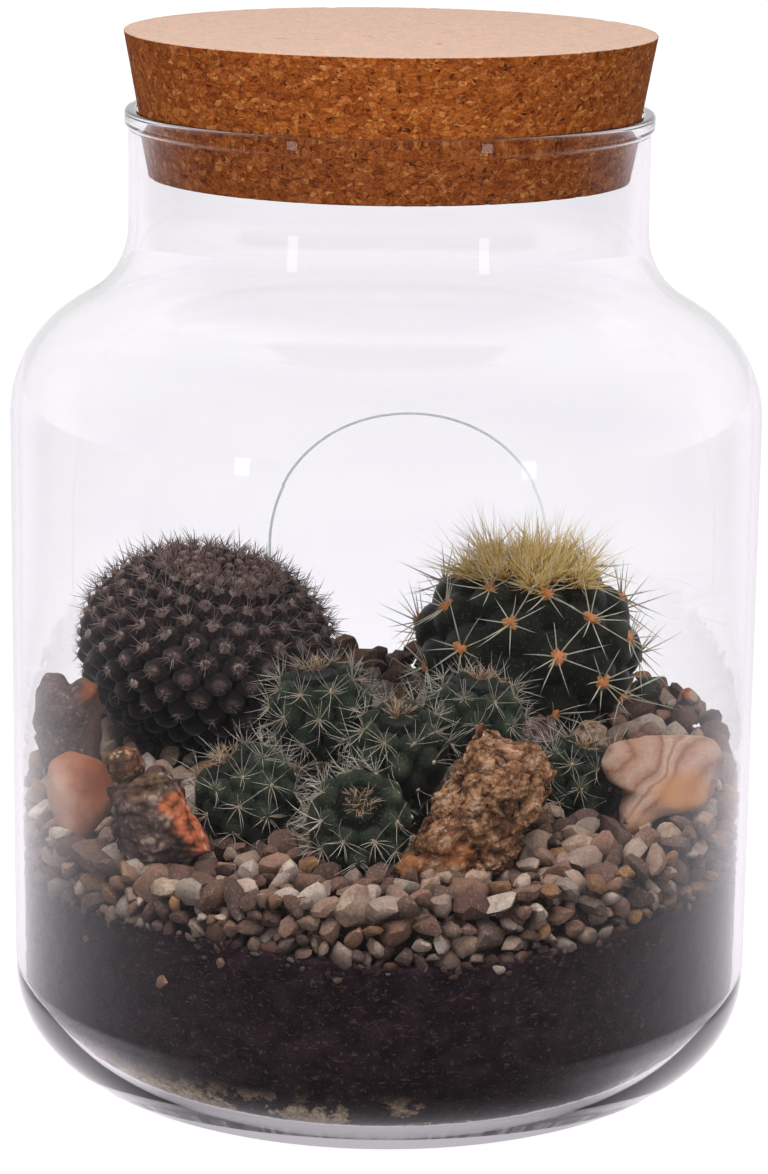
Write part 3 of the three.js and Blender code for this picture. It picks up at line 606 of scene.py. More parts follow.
layers = dict(
    gap=0.3, drainageHeight=10, soilHeight=60, gravelHeight=70.5, gravelRise=17.5, gravelRun=150, flatRows=10,
    drainage=dict(turns=340, wallRows=22, crumbSize=1.6, crumbDepth=0.5),
    soil=dict(turns=400, wallRows=44, crumbSize=3.2, crumbDepth=0.9),
    core=dict(turns=220, wallRows=14, crumbSize=5.0, crumbDepth=1.5),
)


# The uneven surfaces of the layers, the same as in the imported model
def waves(x, y, phase):
    return (np.sin(x / 17 + phase) + np.sin(y / 13 + 2 * phase) * np.cos(x / 29 - phase)) / 2


def drainageTop(x, y):
    return layers["drainageHeight"] - x / 35 + 2.5 * waves(x, y, 1)


def soilTop(x, y):
    return layers["soilHeight"] + y / 30 + 2.2 * waves(x, y, 4)


def gravelTop(x, y):
    t = np.clip((y + jar["radius"]) / layers["gravelRun"], 0, 1)
    rise = layers["gravelRise"] * t * t * (3 - 2 * t)
    return layers["gravelHeight"] + rise + x / 40 + 0.6 * waves(x, y, 2)


# Inner radius of the glass at a height
def glassRadius(z):
    below = np.clip(bendHeight - z, 0, bendRadius)
    return bendMiddle + np.sqrt(bendRadius ** 2 - below ** 2)


# A layer between two surfaces, pressed against the glass: out along the lower surface, up the glass and
# back along the upper one. Its skin is moved inward by crumbDepth (0.5 + 0.5 rough noise), and the top is
# raised by as much.
def layerPoints(lower, upper, inset, form, seed):
    angle = np.arange(form["turns"]) * 2 * pi / form["turns"]
    way = np.stack([np.cos(angle), np.sin(angle)])
    edgeLow = edgeHigh = innerRadius - inset
    for _ in range(3):
        low, high = lower(*(way * edgeLow)), upper(*(way * edgeHigh))
        edgeLow, edgeHigh = glassRadius(low) - inset, glassRadius(high) - inset
    out = np.linspace(0, 1, layers["flatRows"] + 1)[1:, None]
    inner = len(out) - 1
    up = np.linspace(0, 1, form["wallRows"])[:, None]
    z = low + (high - low) * up
    radius = np.concatenate([edgeLow * out[:-1], glassRadius(z) - inset, edgeHigh * out[::-1][1:]])
    x, y = radius * way[0], radius * way[1]
    height = np.concatenate([lower(x, y)[:inner], z, upper(x, y)[-inner:]])
    grid = np.stack([x, y, height], -1)
    sunk = form["crumbDepth"] * (0.5 + 0.5 * roughNoise(grid, form["crumbSize"], 3, seed))
    inward = unit(np.stack([-x, -y, 0 * x], -1))
    grid = grid + inward * np.clip(sunk, 0, None)[..., None]
    grid[-inner:, :, 2] += sunk[-inner:]
    origin = np.zeros(1)
    ends = [(0, 0, surface(origin, origin)[0]) for surface in (lower, upper)]
    return closedPoints(grid, *ends), closedFaces(len(grid), form["turns"])


peat = dict(first=(24, 16, 20), second=(42, 30, 35), fibre=(92, 66, 60))
sand = dict(pale=(206, 184, 156), brown=(156, 128, 100), cover=0.47, soilCover=0.56, low=15, high=22)


# Share of a spot that pale sand covers: ragged patches, more of them at the front left
def sandMask(tree, cover):
    place = objectPlace(tree)
    patches = noiseNode(tree, place, 48.0, 5.0, 0.7)
    left = spread(tree, axisOf(tree, place, "X"), 0.02, -0.05, 0.0, 0.09)
    return spread(tree, calculate(tree, "ADD", patches, left), cover - 0.02, cover + 0.03)


def peatLook():
    look, tree, shader = newLook("dampPeat", 0.9)
    ground = addMottle(tree, peat["first"], peat["second"], 160.0, 900.0, 0.12)
    place = objectPlace(tree)
    long = vectorMath(tree, "MULTIPLY", place, (1, 1, 4.0))
    fibre = spread(tree, noiseNode(tree, long, 420.0, 2.0, 0.5), 0.66, 0.7)
    color = mixColor(tree, times(tree, fibre, 0.7), ground["Color"], tint(peat["fibre"]))
    grains = addMottle(tree, sand["pale"], sand["brown"], 420.0, 1100.0, 0.6)
    low = spread(tree, axisOf(tree, place, "Z"), sand["high"] * mm, sand["low"] * mm)
    mask = times(tree, sandMask(tree, sand["soilCover"]), low)
    tree.links.new(ground["Roughness"], shader.inputs["Roughness"])
    finishLook(tree, shader, mixColor(tree, mask, color, grains["Color"]), ground["Height"], 0.8, 1.2)
    return look


# Pale sand in ragged patches, dark with peat between them
def sandLook():
    look, tree, shader = newLook("fineGravel", 0.9)
    grains = addMottle(tree, sand["pale"], sand["brown"], 420.0, 1100.0, 0.6)
    dark = addMottle(tree, peat["first"], peat["second"], 160.0, 900.0, 0.35)
    color = mixColor(tree, sandMask(tree, sand["cover"]), dark["Color"], grains["Color"])
    finishLook(tree, shader, color, grains["Height"], 0.9, 0.8)
    return look


def makeLayers():
    gap = layers["gap"]
    points, faces = layerPoints(lambda x, y: 0 * x + jar["floor"] + gap, drainageTop, gap, layers["drainage"], 61)
    settle(makePiece("fineGravel", points, faces, sandLook()), "fine_gravel", "drainage_layer")
    points, faces = layerPoints(lambda x, y: drainageTop(x, y) + gap, soilTop, gap, layers["soil"], 62)
    settle(makePiece("peatSoil", points, faces, peatLook()), "peat", "soil")


makeLayers()


# Plants: one function for every head

starGlobe = dict(
    centre=(40.5, 33, 106), radius=32, halfHeight=25.5, columns=7, rows=7, rise=5.6,
    foot=-65, crown=75, dip=1, tilt=(4, 0), grid=(184, 100), bulge=0.64, power=0.5,
)
woollyGlobe = dict(
    centre=(-49, 22, 106), radius=36.5, halfHeight=28, columns=24, rows=12, rise=4.2,
    foot=-56, crown=72, dip=5, tilt=(6, 10), grid=(264, 124), bulge=0.62, power=0.8,
)
clusterForm = dict(columns=8, rows=5, rise=3.2, foot=-62, crown=66, dip=0.8, grid=(96, 52), bulge=0.62, power=0.6)
clusterHeads = [dict(clusterForm, centre=c, radius=r, halfHeight=h, tilt=t) for c, r, h, t in [
    ((-16, -24, 101), 14, 16, (8, -8)),
    ((4.5, -40, 95), 13.5, 15.5, (20, 0)),
    ((24, -24, 99), 14, 15.5, (4, 8)),
    ((-35, -43, 84), 14, 14.5, (10, -28)),
    ((-5.5, -61, 82.5), 14, 14, (48, 0)),
    ((51.5, -26, 84), 12, 13, (10, 12)),
]]
allHeads = [starGlobe, woollyGlobe, *clusterHeads]


def leanOf(head):
    rx, ry = (radians(angle) for angle in head["tilt"])
    return np.array(Matrix.Rotation(rx, 3, "X") @ Matrix.Rotation(ry, 3, "Y"))


def latitudeOf(head, row):
    return np.radians(head["foot"] + (head["crown"] - head["foot"]) * row / head["rows"])


# Place on a head by column c and row w: latitude runs evenly with w, longitude is c turns of a column, and
# the point lies at lift above the hollows of an ellipsoid
def placeOn(head, column, row, lift):
    latitude, angle = latitudeOf(head, row), 2 * pi * column / head["columns"]
    flat = (head["radius"] - head["rise"] + lift) * np.cos(latitude)
    up = (head["halfHeight"] - head["rise"] + lift) * np.sin(latitude)
    local = np.stack([flat * np.cos(angle), flat * np.sin(angle), up], -1)
    return local @ leanOf(head).T + np.array(head["centre"])


# Rounded tubercles. Their middles stand in rows, each row half a column on from the one below. At the
# distance d from the nearest middle the lift is rise (1 - (d / R)^2)^power, where R is bulge times the root
# of the area that each has, so that neighbours meet in creases.
def tubercles(head, column, row, seed):
    latitude = latitudeOf(head, row)
    wide = 2 * pi * head["radius"] * np.cos(latitude) / head["columns"]
    high = radians(head["crown"] - head["foot"]) / head["rows"] * (head["radius"] + head["halfHeight"]) / 2
    nearest, varied = np.full(column.shape, 1e9), np.ones(column.shape)
    for step in (-1, 0, 1):
        line = np.clip(np.round(row) + step, 1, head["rows"] - 1)
        middle = np.round(column - 0.5 - line / 2) + 0.5 + line / 2
        away = ((column - middle) * wide) ** 2 + ((row - line) * high) ** 2
        which = np.stack([np.round(2 * middle) % (2 * head["columns"]), line, 0 * line], -1).astype(np.int64)
        varied = np.where(away < nearest, 0.88 + 0.2 * cellValue(which, seed), varied)
        nearest = np.minimum(away, nearest)
    return varied * np.clip(1 - nearest / (head["bulge"] ** 2 * wide * high), 0, 1) ** head["power"]


# A head's skin, whose crown closes in three more rows that sink to its middle by dip
def headSurface(head, seed):
    turns, rows = head["grid"]
    column, row = np.meshgrid(np.arange(turns) / turns * head["columns"], np.linspace(0, head["rows"], rows))
    bump = tubercles(head, column, row, seed)
    grid = placeOn(head, column, row, head["rise"] * bump)
    up = leanOf(head)[:, 2]
    middle = grid[-1].mean(0)
    share = np.array([0.3, 0.55, 0.8])[:, None, None]
    cap = grid[-1] * (1 - share) + middle * share - up * head["dip"] * share
    grid = np.concatenate([grid, cap])
    points = closedPoints(grid, grid[0].mean(0), middle - up * head["dip"])
    rough = roughNoise(points, 2.2, 2, seed + 5) * 0.1
    points = points + unit(points - np.array(head["centre"])) * rough[:, None]
    lift = np.concatenate([bump.ravel(), np.full(3 * turns + 2, 0.3)])
    age = np.concatenate([(row / head["rows"]).ravel(), np.ones(3 * turns), [0, 1]])
    return points, closedFaces(len(grid), turns), lift, age


# Tips of the tubercles, the direction in which each points, and its height share on the head
def areolesOf(head):
    column, row = np.meshgrid(np.arange(head["columns"]) + 0.5, np.arange(1, head["rows"]))
    column, row = (column + row / 2).ravel(), row.ravel()
    tip = placeOn(head, column, row, head["rise"])
    return tip, unit(tip - placeOn(head, column, row, 0.0)), row / head["rows"]


# How far points lie out from a head's middle, where 1 is the skin grown by room
def depthIn(head, points, room):
    local = (points - np.array(head["centre"])) @ leanOf(head)
    size = np.array([head["radius"], head["radius"], head["halfHeight"]]) + room
    return np.linalg.norm(local / size, axis=-1)


# Bent spines. At share t along it a spine is root + length (t way + t^2 bend), round it runs a ring of
# radius thickness (1 - 0.75 t), and the last ring closes in a tip.
def spinePoints(root, way, bend, length, thickness, sides=3, rings=3):
    count = len(root)
    share = np.linspace(0, 1, rings + 1)
    along = share[:, None, None]
    line = root + length[:, None] * (along * way + along ** 2 * bend)
    side, other = acrossOf(way)
    angle = np.arange(sides) * 2 * pi / sides
    ringWay = turnedWay(side[:, None], other[:, None], angle)
    width = thickness[:, None, None] * (1 - 0.75 * share[:-1, None, None, None])
    rings3 = line[:-1, :, None] + ringWay * width
    points = np.concatenate([rings3.transpose(1, 0, 2, 3).reshape(count, -1, 3), line[-1][:, None]], 1)
    each = points.shape[1]
    here = np.arange(sides)
    after = (here + 1) % sides
    quads = np.concatenate([np.stack([here + k * sides, after + k * sides, after + (k + 1) * sides,
                                      here + (k + 1) * sides], -1) for k in range(rings - 1)])
    last = (rings - 1) * sides
    tips = np.concatenate([np.stack([here + last, after + last, np.full(sides, each - 1)], -1),
                           np.array([[2, 1, 0]])])
    share = np.concatenate([np.repeat(share[:-1], sides), [1]])
    faces = [copyFaces(part, count, each) for part in (quads, tips)]
    return points.reshape(-1, 3), faces, np.tile(share, count), each


# Spines in stars: from each areole, count spines lean out from its direction by an angle, evenly round it
def starSpines(tip, out, form, seed):
    rng = np.random.default_rng(seed)
    count, lean, curve = form["count"], form["lean"], form["curve"]
    number = len(tip) * count
    root, facing = np.repeat(tip, count, 0), np.repeat(out, count, 0)
    side, other = acrossOf(facing)
    around = np.tile(np.arange(count) / count, len(tip)) + np.repeat(rng.random(len(tip)), count)
    around = 2 * pi * (around + 0.25 / count * rng.standard_normal(number))
    tilt = np.radians(lean + 0.13 * lean * rng.standard_normal(number))
    way = turnedWay(facing, turnedWay(side, other, around), tilt)
    bend = rng.normal(0, curve, (number, 3)) + curve * facing
    long = form["length"] * (1 + 0.16 * rng.standard_normal(number))
    wide = form["thickness"] * (1 + 0.2 * rng.random(number))
    return [root - 0.3 * facing, way, bend, long, wide]


# Leaves out spines whose tips lie in a neighbour or the bed, and shortens those that would meet the glass
def clearSpines(spines, own, room=0.4):
    root, way, bend, length, thickness = spines
    reach = np.hypot(*(root + way * length[:, None])[:, :2].T)
    over = np.clip((reach - innerRadius + 1.2) / np.maximum(length, 0.1), 0, 0.9)
    length = length * (1 - over)
    keep = np.ones(len(root), bool)
    for share in (0.6, 1.0):
        point = root + way * (share * length)[:, None]
        keep &= point[:, 2] > gravelTop(point[:, 0], point[:, 1]) - 2
        for head in allHeads:
            if head is not own:
                keep &= depthIn(head, point, room) > 1
        for low, high in rockBoxes:
            middle, half = (low + high) / 2, (high - low) / 2
            keep &= np.linalg.norm((point - middle) / half, axis=1) > 1
    return [part[keep] for part in (root, way, bend, length, thickness)]


rockNodes = ["crag_rock", "salmon_stone", "tall_stone", "brown_slab", "ochre_stone", "banded_stone",
             "mauve_rock", "beige_rock", "dark_pebble", "rust_tip_stone"]
rockBoxes = [(np.array(low) / mm, np.array(high) / mm) for low, high in map(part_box, rockNodes)]


# Joins lists of spines into one mesh with the values that their material reads
def makeSpines(plant, name, groups, look):
    joined = [np.concatenate(parts) for parts in zip(*groups)]
    points, faces, along, each = spinePoints(*joined)
    rng = np.random.default_rng(len(points))
    tone = np.repeat(rng.random(len(joined[0])), each)
    name = plant["name"] + name
    look = spineLook(**{"name": name, **look})
    settle(makePiece(name, points, faces, look, dict(along=along, tone=tone)), plant["slot"], plant["node"])


# Felt cushions: small balls squashed along their direction, with a shaggy surface. Their size is a first
# value and a second one times their share.
def makeFelt(plant, name, tip, out, share, form):
    ball, faces = ballMesh(2)
    rng = np.random.default_rng(form["seed"])
    shaggy = 1 + form["ragged"] * rng.standard_normal((len(tip), len(ball)))
    size = form["size"][0] + form["size"][1] * share
    local = ball * shaggy[..., None] * size[:, None, None] * [1, 1, 0.6]
    points = placed(local, tip, *acrossOf(out), out).reshape(-1, 3)
    tone = np.repeat(rng.random(len(tip)), len(ball))
    name = plant["name"] + name
    piece = makePiece(name, points, [copyFaces(faces, len(tip), len(ball))], feltLook(name, *form["colors"]),
                      dict(tone=tone))
    settle(piece, plant["slot"], plant["node"])


# Skin of a head: hollow, side and tip colours by the tubercle's lift, darker towards the foot. The near-black
# hollow colour is painted shade in the creases between tubercles, and the darkening towards the foot is painted
# shade too.
def skinLook(name, hollow, side, tip, shade, gloss, sheen=0.0, low=(0.66, 0.2)):
    look, tree, shader = newLook(name, gloss, **{"Sheen Weight": sheen})
    lift = attribute(tree, "lift")
    # Painted shade: the lowest lift takes the near-black hollow colour, for the shade in the creases
    color = ramp(tree, lift, [(0.0, hollow), (0.45, side), (0.8, side), (1.0, tip)])
    grain = addMottle(tree, color, color, 300.0, 1400.0, 0.14)
    foot = spread(tree, attribute(tree, "age"), *low)
    # Painted shade: towards the foot the colour goes over to the hollow colour, by up to shade
    color = mixColor(tree, times(tree, foot, shade), grain["Color"], tint(hollow))
    finishLook(tree, shader, color, grain["Height"], 0.25, 0.3)
    return look


# Spine colours: root and tip colours, one of two tones for each spine, with fine cross lines
def spineLook(name, roots, tips, gloss=0.45, turn=(0.05, 0.75)):
    look, tree, shader = newLook(name, gloss)
    along, tone = attribute(tree, "along"), attribute(tree, "tone")
    first = mixColor(tree, tone, tint(roots[0]), tint(roots[1]))
    second = mixColor(tree, tone, tint(tips[0]), tint(tips[1]))
    color = mixColor(tree, spread(tree, along, *turn), first, second)
    grain = addMottle(tree, color, color, 900.0, 2600.0, 0.12)
    finishLook(tree, shader, grain["Color"], grain["Height"], 0.2, 0.1)
    return look


def feltLook(name, first, second):
    look, tree, shader = newLook(name, 0.95, **{"Sheen Weight": 0.3})
    color = mixColor(tree, attribute(tree, "tone"), tint(first), tint(second))
    grain = addMottle(tree, color, color, 700.0, 2400.0, 0.3)
    finishLook(tree, shader, grain["Color"], grain["Height"], 0.5, 0.3)
    return look


# Places within width degrees of the crown's middle, at a share of it and an angle round it, sunk by dip, and
# the flat direction out to each
def crownPlaces(head, flat, share, width):
    lean3 = leanOf(head)
    way = flat @ lean3[:, :2].T
    latitude = np.radians(90 - share * width)
    local = way * (head["radius"] * np.cos(latitude))[:, None] \
        + lean3[:, 2] * ((head["halfHeight"] - 1.5) * np.sin(latitude) - head["dip"] * (1 - share))[:, None]
    return local + np.array(head["centre"]), way


# Spines of a young crown stand in clumps, set at 2.4 radians from one to the next and farther out by the root
# of their number. Each clump leans out with its place and spreads.
def crownSpines(head, form, clumps, seed):
    rng = np.random.default_rng(seed)
    count = form["count"]
    clump = rng.integers(0, clumps, count)
    share = np.sqrt((clump + 0.5) / clumps)
    around = 2.4 * clump + seed
    spot = np.stack([share * np.cos(around), share * np.sin(around)], -1)
    spot = spot + rng.normal(0, 0.3 / np.sqrt(clumps), (count, 2))
    share = np.clip(np.hypot(*spot.T), 1e-6, 1.15)
    root, flat = crownPlaces(head, unit(spot), share, form["width"])
    up = leanOf(head)[:, 2]
    way = turnedWay(up, flat, np.radians(form["lean"] * share))
    way = unit(way + rng.normal(0, form["spread"], (count, 3)))
    way = unit(way + up * np.clip(0.25 - way @ up, 0, None)[:, None])
    long = form["length"] * (0.75 + 0.5 * rng.random(count))
    bend = rng.normal(0, 0.07, (count, 3))
    return [root - way, way, bend, long, form["thickness"] * (0.8 + 0.4 * rng.random(count))]


# Each plant: its heads, and the colours and sizes of what grows on them. Felt and stars stand on the tubercles
# in a range of height shares, and a seed is one more for each next head. A skin's hollow colour is painted
# shade in the creases, and its shade is how far painted shade darkens it towards the foot.
barrel = dict(
    name="barrel", slot="barrel_skin", node="golden_barrel_cactus", heads=[starGlobe], seed=71,
    skin=dict(hollow=(6, 8, 6), side=(18, 22, 16), tip=(38, 44, 33), shade=0.35, gloss=0.45),
    felt=dict(colors=((206, 130, 74), (182, 118, 68)), above=0, sunk=0.3, size=(2.3, -0.5), ragged=0.3, seed=72),
    starLook=dict(roots=((204, 190, 158), (188, 178, 152)), tips=((208, 208, 192), (184, 185, 168))),
    stars=[
        dict(among=(0, 1), count=9, length=12.5, lean=68, thickness=0.25, curve=0.05, seed=73),
        dict(among=(0, 1), count=1, length=13.0, lean=25, thickness=0.27, curve=0.05, seed=74),
    ],
    crownLook=dict(name="crownSpines", roots=((220, 170, 56), (198, 148, 46)),
                   tips=((248, 226, 166), (232, 206, 140)), turn=(0.1, 0.7)),
    clumps=14, crownSeed=75, crowns=[
        dict(count=560, width=31, length=11.5, lean=54, thickness=0.18, spread=0.46, cleared=True),
        dict(count=1300, width=30, length=6.5, lean=45, thickness=0.24, spread=0.5, cleared=False),
        dict(count=260, width=31, length=16.5, lean=60, thickness=0.13, spread=0.5, cleared=True),
    ],
)
woolly = dict(
    name="woolly", slot="brown_skin", node="brown_globe_cactus", heads=[woollyGlobe], seed=81,
    skin=dict(hollow=(7, 4, 5), side=(36, 26, 27), tip=(102, 84, 80), shade=0.95, gloss=0.85, sheen=0.2,
              low=(0.72, 0.26)),
    felt=dict(colors=((144, 125, 118), (98, 81, 77)), above=0.4, sunk=0.7, size=(1.0, 0.7), ragged=0.16, seed=82),
    crownFelt=dict(colors=((154, 130, 123), (108, 88, 84)), count=46, width=21, size=(0.8, 0.5), ragged=0.2,
                   seed=87),
    starLook=dict(roots=((160, 140, 132), (88, 68, 63)), tips=((148, 130, 122), (58, 44, 42)), gloss=0.6),
    stars=[
        dict(among=(0.55, 1), count=13, length=4.2, lean=56, thickness=0.12, curve=0.12, seed=83),
        dict(among=(0.3, 0.55), count=10, length=2.6, lean=60, thickness=0.11, curve=0.12, seed=86),
        dict(among=(0.55, 1), count=3, length=5.6, lean=30, thickness=0.16, curve=0.08, seed=84),
    ],
    crownLook=dict(roots=((96, 76, 72), (70, 55, 52)), tips=((160, 135, 128), (108, 87, 83)), gloss=0.6),
    clumps=46, crownSeed=85,
    crowns=[dict(count=900, width=27, length=5.6, lean=38, thickness=0.15, spread=0.4, cleared=False)],
)
cluster = dict(
    name="cluster", slot="cluster_skin", node="cluster_cactus", heads=clusterHeads, seed=91,
    skin=dict(hollow=(8, 10, 8), side=(34, 41, 32), tip=(60, 68, 52), shade=0.45, gloss=0.55),
    felt=dict(colors=((176, 160, 142), (138, 118, 102)), above=0, sunk=0.2, size=(0.62, 0), ragged=0.3, seed=131),
    starLook=dict(roots=((178, 166, 146), (152, 138, 120)), tips=((192, 191, 181), (164, 161, 150))),
    stars=[
        dict(among=(0, 1), count=11, length=6.4, lean=66, thickness=0.11, curve=0.2, seed=101),
        dict(among=(0, 1), count=2, length=6.0, lean=34, thickness=0.14, curve=0.2, seed=111),
    ],
    crownLook=dict(roots=((146, 106, 74), (124, 92, 70)), tips=((200, 178, 148), (172, 150, 130))),
    clumps=22, crownSeed=121,
    crowns=[dict(count=64, width=15, length=4.0, lean=50, thickness=0.12, spread=0.5, cleared=False)],
)


# Felt over a crown's middle, set like the clumps of its spines
def makeCrownFelt(plant, head, form):
    number = np.arange(form["count"])
    share = np.sqrt((number + 0.5) / form["count"])
    flat = np.stack([np.cos(2.4 * number), np.sin(2.4 * number)], -1)
    place, _ = crownPlaces(head, flat, share, form["width"])
    makeFelt(plant, "CrownFelt", place, unit(place - np.array(head["centre"])), share, form)


def makePlant(plant):
    skins, areoles, stars, crowns = [], [], [], []
    for number, head in enumerate(plant["heads"]):
        skins.append(headSurface(head, plant["seed"] + number))
        tip, out, share = areolesOf(head)
        areoles.append((tip, out, share))
        for form in plant["stars"]:
            some = (share > form["among"][0]) & (share <= form["among"][1])
            stars.append(clearSpines(starSpines(tip[some], out[some], form, form["seed"] + number), head))
        for form in plant["crowns"]:
            made = crownSpines(head, form, plant["clumps"], plant["crownSeed"] + number)
            crowns.append(clearSpines(made, head) if form["cleared"] else made)
    starts = np.cumsum([0] + [len(skin[0]) for skin in skins[:-1]])
    faces = [np.concatenate([skin[1][k] + start for skin, start in zip(skins, starts)]) for k in (0, 1)]
    points, lift, age = (np.concatenate([skin[k] for skin in skins]) for k in (0, 2, 3))
    look = skinLook(plant["name"] + "Skin", **plant["skin"])
    settle(makePiece(plant["name"] + "Body", points, faces, look, dict(lift=lift, age=age)),
           plant["slot"], plant["node"])
    tip, out, share = (np.concatenate(parts) for parts in zip(*areoles))
    felt = plant["felt"]
    some = share > felt["above"]
    makeFelt(plant, "Felt", (tip - felt["sunk"] * out)[some], out[some], share[some], felt)
    if "crownFelt" in plant:
        makeCrownFelt(plant, plant["heads"][0], plant["crownFelt"])
    makeSpines(plant, "Spines", stars, plant["starLook"])
    makeSpines(plant, "Crown", crowns, plant["crownLook"])


for plant in (barrel, woolly, cluster):
    makePlant(plant)
print("plants are made")


# Rocks

# Skin of a packed stone on a grid of ways out from its middle, evenly round a ball stretched to its box: the
# farthest triangle that each way's ray meets, at det(a, b, c) / (way . (b - a) x (c - a)) with corners from
# the middle
def rockReach(node, rows, turns):
    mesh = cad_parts[node].data
    mesh.calc_loop_triangles()
    corners = np.array([v.co for v in mesh.vertices]) / mm
    triangles = corners[np.array([t.vertices for t in mesh.loop_triangles])]
    a, b, c = triangles.transpose(1, 0, 2)
    volumes = np.einsum("ij,ij->i", a, np.cross(b, c))
    middle = ((a + b + c) / 4 * volumes[:, None]).sum(0) / volumes.sum()
    polar = (np.arange(rows) + 1) * pi / (rows + 1)
    angle = np.arange(turns) * 2 * pi / turns
    polar, angle = polar[::-1, None], angle[None]
    ways = np.stack([np.sin(polar) * np.cos(angle), np.sin(polar) * np.sin(angle), np.cos(polar) + 0 * angle], -1)
    ways = closedPoints(ways, (0, 0, -1), (0, 0, 1)) * (corners.max(0) - corners.min(0)) / 2
    a, b, c = a - middle, b - middle, c - middle
    # A ray lies in the cone over a triangle where it is on the inner side of all three planes
    inside = np.ones((len(ways), len(a)), bool)
    for first, second in ((a, b), (b, c), (c, a)):
        inside &= ways @ np.cross(first, second).T >= -1e-6
    facing = ways @ np.cross(b - a, c - a).T
    depth = np.einsum("ij,ij->i", a, np.cross(b, c))
    reach = np.where(inside & (facing > 1e-9), depth / np.maximum(facing, 1e-9), 0).max(1)
    return ways, reach, middle


# Evens out the reach over the grid, each point by its four neighbours
def soften(reach, rows, turns, passes):
    grid = reach[:rows * turns].reshape(rows, turns)
    for _ in range(passes):
        padded = np.concatenate([grid[:1].mean() + 0 * grid[:1], grid, grid[-1:].mean() + 0 * grid[:1]])
        around = np.roll(grid, 1, 1) + np.roll(grid, -1, 1) + padded[2:] + padded[:-2]
        grid = 0.5 * grid + 0.125 * around
    return np.concatenate([grid.ravel(), [grid[0].mean(), grid[-1].mean()]])


